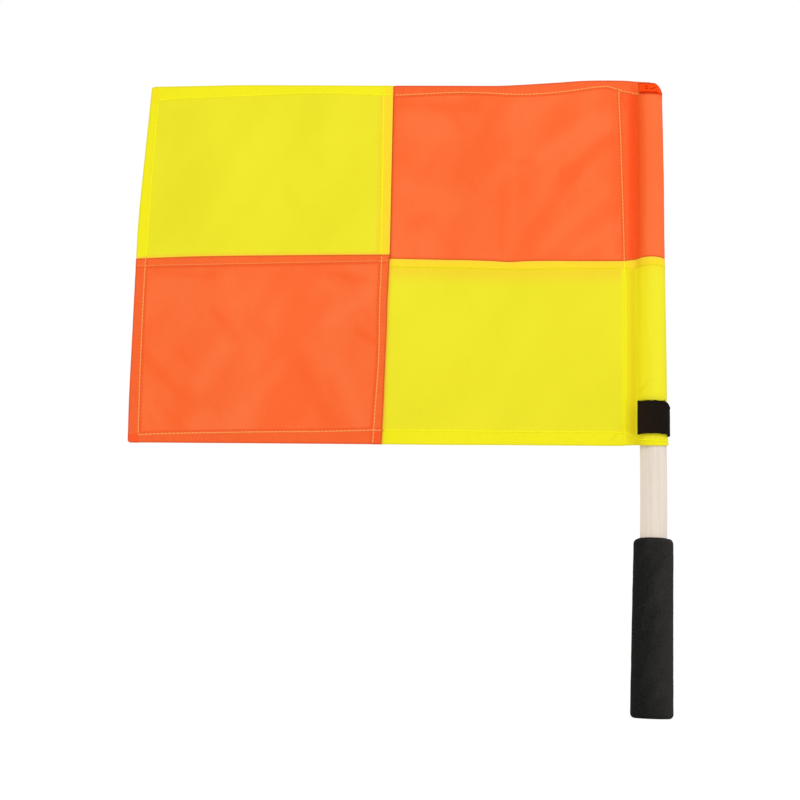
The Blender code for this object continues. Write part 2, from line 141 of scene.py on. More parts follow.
class Finish(Nodes):
    """A material in the making, whose nodes feed one Principled shader."""

    def __init__(self, name, **constants):
        self.material = bpy.data.materials.new(name)
        super().__init__(self.material)
        self.shader = self.tree.nodes["Principled BSDF"]
        for socket, value in constants.items():
            self.set(socket.replace("_", " "), value)

    def set(self, socket, value):
        self.join(self.shader.inputs[socket], value)

    def place(self, scale=(1.0, 1.0, 1.0), turn=(0.0, 0.0, 0.0), given="Object"):
        """Where a point lies on the piece, for a pattern turned and then drawn out by a scale.

        given is Object or UV.
        """
        here = self.node("ShaderNodeTexCoord", output=given)
        inputs = {"Vector": here, "Scale": scale, "Rotation": turn}
        return self.node("ShaderNodeMapping", {"vector_type": "TEXTURE"}, inputs)

    def cloud(self, vector, scale, detail=2.0, roughness=0.5):
        inputs = {"Vector": vector, "Scale": scale, "Detail": detail, "Roughness": roughness}
        return self.node("ShaderNodeTexNoise", {}, inputs)

    def mark(self, name):
        return self.node("ShaderNodeAttribute", {"attribute_name": name}, output="Fac")

    def mix(self, share, first, second, how="MIX"):
        settings = {"data_type": "RGBA", "blend_type": how}
        return self.node("ShaderNodeMix", settings, {0: share, 6: first, 7: second}, output=2)

    def bump(self, height, depth):
        self.set("Normal", self.node("ShaderNodeBump", {}, {"Distance": depth, "Height": height}))


def blend(low, high, share):
    return low + (high - low) * share


def smooth_step(value):
    value = min(max(value, 0.0), 1.0)
    return value * value * (3 - 2 * value)


def through(*points):
    """The smooth line through some (place, value) pairs in millimetres, as a function in metres."""
    places = [place / 1000 for place, _ in points]
    values = [value / 1000 for _, value in points]
    last = len(points) - 1
    slopes = []
    for k in range(last + 1):
        before, after = max(k - 1, 0), min(k + 1, last)
        slopes.append((values[after] - values[before]) / (places[after] - places[before]))

    def line(place):
        k = min(max(bisect.bisect(places, place) - 1, 0), last - 1)
        width = places[k + 1] - places[k]
        share = (place - places[k]) / width
        if share < 0 or share > 1:
            end = 0 if share < 0 else last
            return values[end] + slopes[end] * (place - places[end])
        bend = share * (1 - share) * width * ((1 - share) * slopes[k] - share * slopes[k + 1])
        return blend(values[k], values[k + 1], smooth_step(share)) + bend

    return line


def turned(outline, steps):
    """A solid turned about the pole's axis, from (radius, height) points that run from axis to axis."""
    bm = bmesh.new()
    rim = [bm.verts.new((r, 0.0, z)) for r, z in outline]
    edges = [bm.edges.new(pair) for pair in zip(rim, rim[1:])]
    bmesh.ops.spin(
        bm, geom=rim + edges, cent=(0, 0, 0), axis=(0, 0, 1), angle=2 * math.pi, steps=steps, use_merge=True
    )
    bmesh.ops.remove_doubles(bm, verts=bm.verts, dist=1e-6)
    bmesh.ops.recalc_face_normals(bm, faces=bm.faces)
    return bm


def as_mesh(name, bm):
    mesh = bpy.data.meshes.new(name)
    bm.to_mesh(mesh)
    bm.free()
    return mesh


def add_piece(name, bm, finish):
    mesh = as_mesh(name, bm)
    mesh.shade_smooth()
    mesh.materials.append(finish.material)
    piece = bpy.data.objects.new(name, mesh)
    bpy.context.collection.objects.link(piece)
    return piece


def arc(centre, radius, start, end, steps):
    """Points of an arc between two angles in degrees."""
    angles = [math.radians(start + (end - start) * k / steps) for k in range(steps + 1)]
    return [(centre[0] + radius * math.cos(a), centre[1] + radius * math.sin(a)) for a in angles]


wood = Finish("pale_wood", Roughness=0.5)
along_grain = wood.place(scale=(1.0, 1.0, 28.0))
broad_grain = wood.cloud(along_grain, 420.0, 3.0, 0.55)
fine_grain = wood.cloud(along_grain, 1900.0, 2.0, 0.6)
pores = wood.cloud(wood.place(scale=(1.0, 1.0, 11.0)), 2600.0, 1.0).past(0.66, 0.74)
tint = wood.cloud(wood.place(scale=(1.0, 1.0, 3.3)), 70.0)
tone = wood.mix(broad_grain.past(0.35, 0.68), paint(234, 222, 209), paint(228, 213, 198))
tone = wood.mix(tint.past(0.4, 0.7) * 0.5, tone, paint(234, 218, 212))
tone = wood.mix(fine_grain.past(0.5, 0.75) * 0.2, tone, paint(216, 197, 180))
tone = wood.mix(pores * 0.3, tone, paint(196, 172, 152))
# Painted light: the pole's left side, which is turned from the lamp, is painted paler to lift its shade.
across = wood.node("ShaderNodeSeparateXYZ", {}, [wood.place()], "X")
tone = wood.mix((1 - (across * 1000).past(-9, -2)) * 0.85, tone, paint(249, 232, 213))
wood.set("Base Color", tone)
wood.set("Roughness", 0.44 + fine_grain * 0.16)
wood.bump(fine_grain * 0.6 + broad_grain * 0.8 - pores * 0.5, 0.00006)

head_round = arc((POLE_RADIUS - POLE_EASING, POLE_HEAD - POLE_EASING), POLE_EASING, 90, 0, 5)
foot_round = arc((POLE_RADIUS - POLE_EASING, POLE_FOOT + POLE_EASING), POLE_EASING, 0, -90, 5)
side = [
    (POLE_RADIUS, blend(head_round[-1][1], foot_round[0][1], k / POLE_STEPS)) for k in range(1, POLE_STEPS)
]
bow = through(
    (-65, -1.45), (-47, -1.28), (-12, -0.65), (23, -0.1), (58, 0.5), (80, 0.95), (125, 1.05), (160, 0.5),
    (200, 0), (230, 0), (350, 0), (376, -0.15), (392, -0.32), (410, -0.62), (430, -0.8)
)
pole = turned([(0, POLE_HEAD), *head_round, *side, *foot_round, (0, POLE_FOOT)], POLE_SIDES)
for vertex in pole.verts:
    vertex.co.x += bow(vertex.co.z)
pole = add_piece("wooden_pole", pole, wood)
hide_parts("pole")
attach(pole, "pole")

# Grip
# A tube of closed-cell foam with a closed foot, pushed over the pole. It swells a little towards the foot,
# follows the pole's bow, and has a pressed crease low on the shown side.
GRIP_TOP = 0.0654
GRIP_FOOT = -0.0654
GRIP_RADIUS_TOP = 0.0147
GRIP_RADIUS_FOOT = 0.0156
GRIP_BORE = 0.0103
GRIP_CORNER_TOP = 0.0040
GRIP_CORNER_FOOT = 0.0032
GRIP_RIM_FROM = 0.0605
GRIP_RIM_DIP = 0.0012
GRIP_RIM_WAVE = 0.0003
GRIP_CREASE = ((-0.0002, -0.0480), (0.0076, -0.0602))
GRIP_CREASE_WIDTH = 0.0009
GRIP_CREASE_DEPTH = 0.0004
GRIP_STEPS = 64
GRIP_SIDES = 120
BORE_BELOW_POLE = 0.0003
BORE_FLARE = 0.0006
BORE_LIP = 0.0004


def pressed(x, z, crease, width):
    """How much a pressed crease is felt at a point: 1 on its line and 0 well beside it."""
    (x0, z0), (x1, z1) = crease
    share = ((x - x0) * (x1 - x0) + (z - z0) * (z1 - z0)) / ((x1 - x0) ** 2 + (z1 - z0) ** 2)
    share = min(max(share, 0), 1)
    return math.exp(-((math.hypot(x - blend(x0, x1, share), z - blend(z0, z1, share)) / width) ** 2))


foam = Finish("black_foam", Roughness=0.86, Specular_IOR_Level=0.04)
skin = foam.place()
cells = foam.node("ShaderNodeTexVoronoi", {"feature": "F1"}, {"Vector": skin, "Scale": 1500.0})
pits = foam.cloud(skin, 900.0, 3.0, 0.6)
grains = foam.cloud(skin, 520.0, 2.0, 0.6)
worn = foam.cloud(foam.place(scale=(1.0, 1.0, 2.2), turn=(0, 0.6, 0)), 120.0, 3.0)
across = foam.node("ShaderNodeSeparateXYZ", {}, [skin], "X")
# Painted light and shade: the side towards the lamp is painted lighter than the far side, with a random
# mottle along the change.
painted_lamp_side_light = (across * 1000 + worn * 24).past(-2, 26)
tone = foam.mix(painted_lamp_side_light, paint(28, 28, 27), paint(48, 47, 45))
tone = foam.mix(pits.past(0.52, 0.72) * 0.5, tone, paint(60, 59, 57))
tone = foam.mix((1 - grains.past(0.3, 0.5)) * 0.35, tone, paint(22, 22, 21))
tone = foam.mix(cells.past(0.0, 0.35), paint(22, 22, 21), tone)
foam.set("Base Color", tone)
foam.set("Roughness", 0.78 + pits * 0.16)
foam.bump(cells * 0.7 + pits * 0.9, 0.00022)

top_round = arc((GRIP_RADIUS_TOP - GRIP_CORNER_TOP, GRIP_TOP - GRIP_CORNER_TOP), GRIP_CORNER_TOP, 90, 0, 8)
foot_corner = (GRIP_RADIUS_FOOT - GRIP_CORNER_FOOT, GRIP_FOOT + GRIP_CORNER_FOOT)
foot_round = arc(foot_corner, GRIP_CORNER_FOOT, 0, -90, 8)
shares = [k / GRIP_STEPS for k in range(1, GRIP_STEPS)]
(top_x, top_z), (foot_x, foot_z) = top_round[-1], foot_round[0]
side = [(blend(top_x, foot_x, share), blend(top_z, foot_z, share)) for share in shares]
bore_foot = POLE_FOOT - BORE_BELOW_POLE
inside = [(0, bore_foot), (GRIP_BORE, bore_foot), (GRIP_BORE, GRIP_TOP - 0.0008)]
inside.append((GRIP_BORE + BORE_FLARE, GRIP_TOP - 0.0002))
under = [(reach, GRIP_FOOT) for reach in (0.009, 0.005, 0)]
grip = turned([*inside, *top_round, *side, *foot_round, *under], GRIP_SIDES)
for vertex in grip.verts:
    spot = vertex.co
    reach = math.hypot(spot.x, spot.y)
    if reach < GRIP_BORE + BORE_LIP:
        continue
    outward = Vector((spot.x, spot.y, 0)) / reach
    swell = 0.00016 * noise.noise(spot * 90) + 0.00007 * noise.noise(spot * 420)
    if spot.y < 0:
        swell -= GRIP_CREASE_DEPTH * pressed(spot.x, spot.z, GRIP_CREASE, GRIP_CREASE_WIDTH)
    rim = smooth_step((spot.z - GRIP_RIM_FROM) / GRIP_CORNER_TOP)
    vertex.co += outward * swell
    vertex.co.z += GRIP_RIM_WAVE * rim * math.sin(3.1 * math.atan2(spot.y, spot.x) + 0.6)
    vertex.co.z -= GRIP_RIM_DIP * rim * max(-outward.y, 0) ** 2
    vertex.co.x += bow(spot.z)
grip = add_piece("foam_hand_grip", grip, foam)
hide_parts("foam_grip")
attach(grip, "pole")

# Fly panels
# Two pieces of thin plain-woven polyester, yellow over orange, cut a little large. Their free edges are
# turned in behind and sewn as hems. At each seam the turned edge of one lies over the flat edge of the next.
CLOTH_FOOT = 0.1343
CLOTH_HEIGHT = 0.2955
CLOTH_THICKNESS = 0.0001
CLOTH_STEP = 0.0017
HEM_RAISES = 0.0001
LAID_BELOW = 0.0002
EDGE_FOLD = 0.000075
SIDE_FOLD = 0.00032
FLY_SPREAD = 0.18
PANEL_RISE = 0.13
# Where lines lie beside a hem's fold, on both sides of its cut edge, and beside a lap, each of the last with
# how far it is pressed back
BESIDE_FOLD = (0.0007, 0.0015, 0.0024)
BESIDE_CUT = (-0.0018, -0.001, -0.0002, 0.0006)
BESIDE_LAP = ((0, 1), (0.0006, 0.8), (0.0016, 0.35), (0.003, 0))
CORNER_ROUND = 0.0022
ROW_IN_HEM = 0.001
ROW_ROUND = 0.0018
# Ripples: depth, length along the cloth, slant over the height, and phase in turns
RIPPLES = ((0.0024, 0.240, 0.45, 0.10), (0.0012, 0.118, -0.55, 0.35), (0.0006, 0.071, 0.90, 0.62))
RIPPLE_FADE = 0.070
UNEVEN = 0.0005
PUCKER = 0.00032
PUCKER_REACH = 0.0045
PUCKER_FADE = 0.003
DRAPED_FROM = -0.0155
MID_HEIGHT = 0.28
MID_REACH = -0.2
TO_THE_SHOWN_SIDE = math.radians(270)

# Upright lines give x at a height, and level lines give a height at x
fly_edge = through(
    (132, -405.0), (165, -406.4), (214, -407.4), (263, -408.4), (313, -409.1), (365, -407.7), (428, -405.6)
)
fly_row = through((137, -397.1), (200, -399.4), (275, -400.9), (350, -400.6), (417, -400.0))
middle_seam = through(
    (133, -205.9), (160, -205.35), (195, -205.1), (224, -204.75), (245, -204.9), (262, -204.55),
    (286, -204.3), (356, -205.0), (428, -205.8)
)
middle_row = through(
    (134, -212.6), (144, -212.2), (159, -211.7), (179, -210.9), (200, -210.2), (220, -210.3), (241, -210.8),
    (281, -210.6), (289, -211.3), (320, -211.5), (345, -212.0), (427, -213.5)
)
sleeve_row = through(
    (134, -20.5), (146, -20.3), (189, -20.0), (225, -19.8), (250, -19.7), (282, -20.4), (317, -21.2),
    (363, -22.5), (386, -23.1), (409, -24.1), (424, -24.5)
)
top_edge = through(
    (-405, 428.5), (-361, 429.2), (-328, 429.6), (-264, 429.05), (-217, 428.6), (-160, 428.2),
    (-135, 427.95), (-118, 427.95), (-103, 428.6), (-71, 430.55), (-53, 431.8), (-32, 432.0),
    (-19, 431.5), (-8, 430.6), (2, 430.0), (12, 429.3)
)
top_row_on_fly = through((-400, 416.8), (-365, 419.0), (-323, 420.6), (-271, 422.5), (-216, 420.8))
top_row_on_hoist = through(
    (-205, 420.1), (-185, 421.0), (-154, 422.3), (-132, 421.8), (-107, 420.45), (-88, 420.8), (-66, 422.9),
    (-35, 426.8), (-25, 424.1), (-19.5, 423.0), (-13.2, 421.7), (-11.6, 421.1), (-10.1, 420.2),
    (-8.8, 419.2), (-8.1, 418.6), (-6, 417.6), (6, 417.2)
)
bottom_edge = through(
    (-405, 131.3), (-381, 131.6), (-350, 131.9), (-308, 132.35), (-204, 133.3), (-164, 133.6), (-115, 134.25),
    (-72, 134.7), (-41, 134.95), (-24, 135.2), (-12, 136.0), (11, 136.1)
)
bottom_row = through(
    (-398, 137.4), (-380, 138.6), (-309, 141.1), (-250, 142.6), (-212, 144.1), (-115, 144.8), (-24, 145.6),
    (-19, 145.0), (-14.5, 142.6), (-11.5, 141.0), (-8.5, 140.1), (-5, 139.7), (11, 139.5)
)
fly_cross = through((-409, 280.9), (-357, 283.1), (-276, 284.6), (-204, 285.5))
fly_cross_row = through((-408, 274.9), (-324, 277.2), (-204, 280.4))
hoist_cross = through(
    (-204, 282.0), (-156, 281.2), (-143, 281.1), (-123, 280.5), (-110, 279.8), (-96, 280.6), (-73, 281.0),
    (-62, 280.9), (-21, 281.2), (-14, 281.7), (11, 281.6)
)
hoist_cross_row = through(
    (-204, 275.6), (-143, 274.8), (-110, 273.9), (-73, 274.8), (-21, 275.3), (11, 275.5)
)


def past(line, way):
    return lambda at: line(at) + way


def width_to(edge, row):
    """How wide the turned-in band is whose stitches run along row, 1 mm inside its cut edge."""
    return lambda at: abs(row(at) - edge(at)) + ROW_IN_HEM


def turned_in(edge, row, inward, radius):
    """An edge turned in behind: lines from its cut edge round the fold to just past the hem in front.

    Each comes with how far round the fold it is, from 180 degrees behind to 0 in front, and whether it is
    raised by the hem beneath. inward is the way from the edge into the cloth.
    """
    width = width_to(edge, row)

    def line(share, depth):
        return lambda at: edge(at) + inward * (share * width(at) + depth)

    lines = [(line(1 - k / 6, radius * k / 6), 180, True) for k in range(6)]
    for turn in range(180, -1, -30):
        lines.append((line(0, radius * (1 - math.sin(math.radians(turn)))), turn, True))
    lines += [(line(0, depth), 0, True) for depth in BESIDE_FOLD]
    for share in (0.35, 0.7):
        lines.append((line(share, BESIDE_FOLD[-1] * (1 - share) + BESIDE_CUT[0] * share), 0, True))
    return lines + [(line(1, depth), 0, depth < 0) for depth in BESIDE_CUT]


def laid_behind(edge, row, inward):
    """An edge left flat behind the next piece's turned edge: lines from its cut edge to where it is clear.

    Each comes with how far it is pressed back, from 1 to 0.
    """
    width = width_to(edge, row)

    def line(share, depth):
        return lambda at: edge(at) + inward * (depth - share * width(at))

    lines = [(line(share, 0), 1) for share in (1, 0.66, 0.33)]
    return lines + [(line(0, depth), back) for depth, back in BESIDE_LAP]


def filled(first, last, steps):
    """Lines evenly spaced between two lines, without the two."""
    return [lambda at, k=k: blend(first(at), last(at), k / steps) for k in range(1, steps)]


def turned_rows(lines):
    """Rows of a hem or lap, each a level line and how far forward it lies."""
    return [
        (line, HEM_RAISES * raised - EDGE_FOLD * (1 - math.cos(math.radians(turn))))
        for line, turn, raised in lines
    ]


def laid_rows(lines):
    return [(line, -LAID_BELOW * pressed) for line, pressed in lines]


def panel_rows(low, high):
    """Rows of a panel from its lower edge to its upper, each a level line and how far forward it lies."""
    middle = [(line, 0.0) for line in filled(low[-1][0], high[-1][0], round(PANEL_RISE / CLOTH_STEP))]
    return low + middle + high[::-1]


def turned_columns(lines, side):
    """Columns of a side hem, each giving x, y and the way the cloth faces. side is 1 on the left."""
    return [
        lambda z, line=line, turn=turn: (
            line(z),
            SIDE_FOLD * (1 - math.cos(math.radians(turn))),
            math.radians(270 - side * turn),
        )
        for line, turn, _ in lines
    ]


def flat_columns(lines, y=0.0):
    return [lambda z, line=line: (line(z), y, TO_THE_SHOWN_SIDE) for line in lines]


def drape(x, z):
    """How far behind its flat place a point of the spread cloth lies: ripples, slack and puckered seams."""
    out = sleeve_row(z) - x
    height = (z - CLOTH_FOOT) / CLOTH_HEIGHT
    wave = sum(
        depth * math.sin(2 * math.pi * (out / length + slant * height + phase))
        for depth, length, slant, phase in RIPPLES
    )
    wave += UNEVEN * noise.noise(Vector((x * 17 + z * 9, 3.1, z * 14 - x * 8)))
    pull = 0.0
    for row in (fly_row, middle_row, sleeve_row):
        pull += math.exp(-(((x - row(z)) / PUCKER_REACH) ** 2)) * noise.noise(Vector((x * 25, 1.7, z * 115)))
    on_fly = x < middle_seam(z)
    level_rows = (top_row_on_fly, fly_cross_row) if on_fly else (top_row_on_hoist, hoist_cross_row)
    for row in (*level_rows, bottom_row):
        pull += math.exp(-(((z - row(x)) / PUCKER_REACH) ** 2)) * noise.noise(Vector((x * 115, 5.3, z * 25)))
    return wave * smooth_step(out / RIPPLE_FADE) + PUCKER * pull * smooth_step(out / PUCKER_FADE)


def hang(point, x, z):
    """The place of a point of the spread cloth once it is draped, moved along the line of sight."""
    return CAMERA_AT + (point - CAMERA_AT) * (1 - drape(x, z) / CAMERA_AT.y)


def lengths_along(start, points):
    """How far along a chain of points each lies, from start."""
    lengths = [start]
    for before, after in zip(points, points[1:]):
        lengths.append(lengths[-1] + (after - before).length)
    return lengths


def give_wall(piece, thickness):
    """Gives a thin surface its thickness, half to each side."""
    wall = piece.modifiers.new("thickness", "SOLIDIFY")
    wall.thickness = thickness
    wall.offset = 0.0


def lay_cloth(name, columns, rows, finish, marks, settle=lambda point: point, thickness=CLOTH_THICKNESS):
    """A piece of cloth from its columns and rows.

    Its flat lengths become its UV. marks(x, z), in metres, become attributes in mm for the finish.
    """
    bm = bmesh.new()
    bmesh.ops.create_grid(bm, x_segments=len(columns) - 1, y_segments=len(rows) - 1, size=0.5)
    flat = bm.loops.layers.uv.new("flat")
    layers = {mark: bm.verts.layers.float.new(mark) for mark in marks(MID_REACH, MID_HEIGHT)}
    places, grid = {}, {}
    for vertex in bm.verts:
        i = round((vertex.co.x + 0.5) * (len(columns) - 1))
        j = round((vertex.co.y + 0.5) * (len(rows) - 1))
        line, forward = rows[j]
        z = line(columns[i](MID_HEIGHT)[0])
        for _ in range(2):
            x, y, facing = columns[i](z)
            z = line(x)
        places[vertex.index] = i, j
        grid[i, j] = Vector((x + math.cos(facing) * forward, y + math.sin(facing) * forward, z))
        for mark, value in marks(x, z).items():
            vertex[layers[mark]] = value * 1000
        vertex.co = settle(grid[i, j])
        if x < DRAPED_FROM:
            vertex.co = hang(vertex.co, x, z)
    middle = len(columns) // 2, len(rows) // 2
    across = lengths_along(columns[0](MID_HEIGHT)[0], [grid[i, middle[1]] for i in range(len(columns))])
    up = lengths_along(rows[0][0](MID_REACH), [grid[middle[0], j] for j in range(len(rows))])
    for face in bm.faces:
        for loop in face.loops:
            i, j = places[loop.vert.index]
            loop[flat].uv = across[i], up[j]
    cloth = add_piece(name, bm, finish)
    give_wall(cloth, thickness)
    return cloth


def cloth_finish(name, row_reach, edge_reach, line_reach, fold_reach, lap_reach, lap_share, **tones):
    """Plain-woven polyester with soft slack patches.

    Hems and laps look like doubled and over_other, with another layer behind. tail is the sleeve beside its
    stitches. The crease tone is painted shade in the fold beside the pole, the highlight tone painted light
    on the rise out of it, and sleeve painted light on the cloth round the pole, which gets painted shade on
    its far side. The tone beside a lap is painted shade that takes on the other colour; it also colours
    specks on hems and laps. The row tone is painted shade along the stitches and in the puckers of hems, and
    rim painted shade along the outer fold. Of the seam tones, the edge one is painted light on the yellow,
    where the orange beneath also shows through, and painted shade on the orange, and the line one a painted
    shadow line in the last millimetre along the other colour. The reaches are in mm.
    """
    cloth = Finish(name, Roughness=0.6, Specular_IOR_Level=0.15)
    here = cloth.place(given="UV")
    slack = cloth.cloud(cloth.place(scale=(2.3, 1.0, 1.0), turn=(0, 0, 1.05), given="UV"), 24.0, 1.5, 0.45)
    streak = cloth.cloud(cloth.place(scale=(2.6, 1.0, 1.0), turn=(0, 0, 2.1), given="UV"), 52.0, 2.0, 0.5)
    fine = cloth.cloud(here, 900.0, 2.0, 0.6)
    warp = cloth.node("ShaderNodeTexWave", {"bands_direction": "X"}, {"Vector": here, "Scale": 760.0})
    weft = cloth.node("ShaderNodeTexWave", {"bands_direction": "Y"}, {"Vector": here, "Scale": 760.0})
    weave = warp * 0.5 + weft * 0.5
    hem = cloth.mark("hem").past(-0.2, 0.2)
    corner = cloth.mark("corner").past(-0.2, 0.2)
    lap_depth = cloth.mark("lap")
    lap = lap_depth.past(-0.2, 0.2)
    seam = cloth.mark("seam")
    row = 1 - cloth.mark("row").past(*row_reach)
    tail = cloth.mark("tail").past(-0.3, 0.4)
    crease = cloth.mark("crease")
    end = cloth.mark("end").past(-1.0, 0.8)
    fold_shade = crease.past(-5.0, 0.8) * (1 - crease.past(*fold_reach))
    round_pole_light = crease.past(7.0, 12.5)
    far_side_shade = crease.past(21.0, 25.5)
    lifted = crease.past(1.0, 4.0) * (1 - round_pole_light)
    soft_crease_shading = cloth.mark("slack")
    speck = cloth.cloud(here, 420.0, 2.0, 0.6).past(0.6, 0.72)
    crinkle = cloth.cloud(here, 330.0, 2.0, 0.6).past(0.4, 0.66)
    pucker_shade = cloth.cloud(here, 140.0, 1.0).past(0.46, 0.7)
    tone = cloth.mix(0.2 + slack.past(0.34, 0.66) * 0.55, tones["light"], tones["deep"])
    tone = cloth.mix(streak.past(0.4, 0.56) * 0.3, tone, tones["plain"])
    tone = cloth.mix(streak.past(0.54, 0.74) * 0.35, tone, tones["deep"])
    # Painted shade and light along the soft creases of a panel.
    tone = cloth.mix(soft_crease_shading.past(0.0, 1.0) * 0.85, tone, tones["deep"])
    tone = cloth.mix((0 - soft_crease_shading).past(0.0, 1.0) * 0.85, tone, tones["light"])
    # Painted shade beside a lap, tinted with the other colour.
    tone = cloth.mix(lap_depth.past(*lap_reach) * lap_share, tone, tones["near_other"])
    tone = cloth.mix(tail * 0.8, tone, tones["tail"])
    # Painted light on the cloth round the pole and on the rise out of the fold, and painted shade on the
    # sleeve's far side and in the fold beside the pole.
    tone = cloth.mix(round_pole_light * 0.7, tone, tones["sleeve"])
    tone = cloth.mix(far_side_shade * 0.6, tone, tones["deep"])
    tone = cloth.mix(lifted * 0.9, tone, tones["lifted"])
    tone = cloth.mix(fold_shade * 0.85, tone, tones["creased"])
    tone = cloth.mix(end, tone, tones["doubled"])
    tone = cloth.mix(hem, tone, tones["doubled"])
    tone = cloth.mix(lap, tone, tones["over_other"])
    # Painted shade in the puckers of hems and laps.
    tone = cloth.mix((hem + lap) * pucker_shade * 0.22, tone, tones["beside_row"])
    tone = cloth.mix(corner * 0.7, tone, tones["corner"])
    # Painted shade in the pinches.
    tone = cloth.mix(cloth.mark("pinch") * 0.45, tone, tones["creased"])
    # Painted shade along the stitches. At the seams, painted light on the yellow, where the orange beneath
    # also shows through, painted shade on the orange, and a painted shadow line.
    tone = cloth.mix(row * 0.75, tone, tones["beside_row"])
    tone = cloth.mix((1 - seam.past(*edge_reach)) * 0.85, tone, tones["seam_edge"])
    tone = cloth.mix((1 - seam.past(*line_reach)) * 0.9, tone, tones["seam_line"])
    # Specks on hems and laps, in the same tone as the painted shade beside a lap.
    tone = cloth.mix((hem + lap) * speck * 0.12, tone, tones["near_other"])
    # Painted shade along the outer fold of the cloth.
    tone = cloth.mix((1 - cloth.mark("rim").past(0.4, 1.8)) * 0.6, tone, tones["rim"])
    tone = cloth.mix(crinkle * 0.14, tone, tones["light"])
    tone = cloth.mix(weave.past(0.2, 0.8) * 0.05 + fine.past(0.4, 0.7) * 0.2, tone, tones["deep"])
    cloth.set("Base Color", tone)
    cloth.set("Roughness", 0.5 + slack * 0.12 + fine * 0.1)
    cloth.bump(weave * 0.6 + fine * 0.5, 0.00005)
    return cloth


yellow = cloth_finish(
    "yellow_polyester", row_reach=(0.2, 0.9), edge_reach=(1.2, 2.1), line_reach=(0.1, 0.35),
    fold_reach=(0.0, 4.2), lap_reach=(-15, -0.5), lap_share=0.72,
    plain=paint(240, 232, 34), light=paint(243, 235, 38), deep=paint(234, 225, 30),
    doubled=paint(247, 238, 12), tail=paint(243, 229, 0), creased=paint(240, 213, 0),
    lifted=paint(255, 240, 24), sleeve=paint(245, 235, 38), over_other=paint(254, 218, 38),
    near_other=paint(250, 207, 42), corner=paint(253, 230, 20), beside_row=paint(242, 229, 26),
    rim=paint(222, 212, 34), seam_edge=paint(255, 212, 58), seam_line=paint(250, 198, 50)
)
orange = cloth_finish(
    "orange_polyester", row_reach=(0.9, 2.1), edge_reach=(1.0, 1.8), line_reach=(0.5, 1.0),
    fold_reach=(0.5, 8.3), lap_reach=(-15, -0.5), lap_share=0.4,
    plain=paint(254, 108, 48), light=paint(255, 120, 63), deep=paint(252, 97, 34),
    doubled=paint(249, 101, 43), tail=paint(251, 99, 40), creased=paint(254, 73, 0),
    lifted=paint(255, 101, 36), sleeve=paint(255, 115, 57), over_other=paint(249, 106, 43),
    near_other=paint(246, 97, 36), corner=paint(254, 80, 28), beside_row=paint(242, 87, 30),
    rim=paint(206, 78, 34), seam_edge=paint(240, 96, 36), seam_line=paint(206, 92, 14)
)


def past_corner(from_side, from_level):
    """How far a point lies past the cut edges of two hems that meet in a rounded corner."""
    a, b = from_side + ROW_ROUND, from_level + ROW_ROUND
    return math.hypot(max(a, 0), max(b, 0)) - ROW_ROUND + min(max(a, b), 0)


def near(lap):
    """A lap whose painted shade on the cloth beside it reaches only a third as far."""
    return min(lap, 3 * lap)


def slack_at(x, z, creases):
    """How shaded a point is by the soft creases of its panel, or how lit where it is less than 0."""
    return sum(shade * pressed(x, z, line, width) for *line, width, shade in creases) / 1000


def behind(depth):
    """The lap of a flat edge laid behind the next piece, from how far inside the seam a point lies."""
    return min(-4 * depth, 0.001)


# Soft creases, painted on as shade and light: the two ends of each, its width, and how much shade it paints,
# or light below 0
LOWER_FLY_CREASES = (
    ((-0.397, 0.201), (-0.367, 0.172), 0.007, 0.7), ((-0.383, 0.163), (-0.361, 0.141), 0.006, 0.5),
    ((-0.350, 0.180), (-0.332, 0.210), 0.013, -0.7), ((-0.343, 0.238), (-0.324, 0.218), 0.005, 0.6),
    ((-0.332, 0.263), (-0.326, 0.243), 0.007, -0.5), ((-0.390, 0.270), (-0.345, 0.267), 0.005, 0.6),
    ((-0.227, 0.223), (-0.215, 0.215), 0.004, 0.8), ((-0.252, 0.270), (-0.224, 0.264), 0.006, 0.6),
    ((-0.242, 0.199), (-0.222, 0.148), 0.009, -0.6), ((-0.273, 0.199), (-0.248, 0.151), 0.010, 0.6),
    ((-0.322, 0.146), (-0.289, 0.194), 0.010, -0.5), ((-0.251, 0.231), (-0.220, 0.252), 0.007, -0.7),
)
UPPER_HOIST_CREASES = (
    ((-0.034, 0.381), (-0.064, 0.352), 0.008, 0.8), ((-0.064, 0.352), (-0.095, 0.298), 0.009, 0.6),
    ((-0.084, 0.368), (-0.044, 0.400), 0.009, -0.6), ((-0.083, 0.294), (-0.036, 0.339), 0.011, -0.6),
    ((-0.056, 0.290), (-0.028, 0.310), 0.008, -0.6), ((-0.107, 0.411), (-0.107, 0.293), 0.004, -0.35),
    ((-0.116, 0.343), (-0.116, 0.289), 0.003, 0.5), ((-0.201, 0.412), (-0.139, 0.409), 0.007, 0.6),
    ((-0.193, 0.343), (-0.157, 0.326), 0.013, -0.6), ((-0.184, 0.312), (-0.170, 0.321), 0.012, 0.6),
    ((-0.102, 0.364), (-0.094, 0.361), 0.004, 0.6), ((-0.0250, 0.288), (-0.0283, 0.415), 0.0035, 0.6),
)


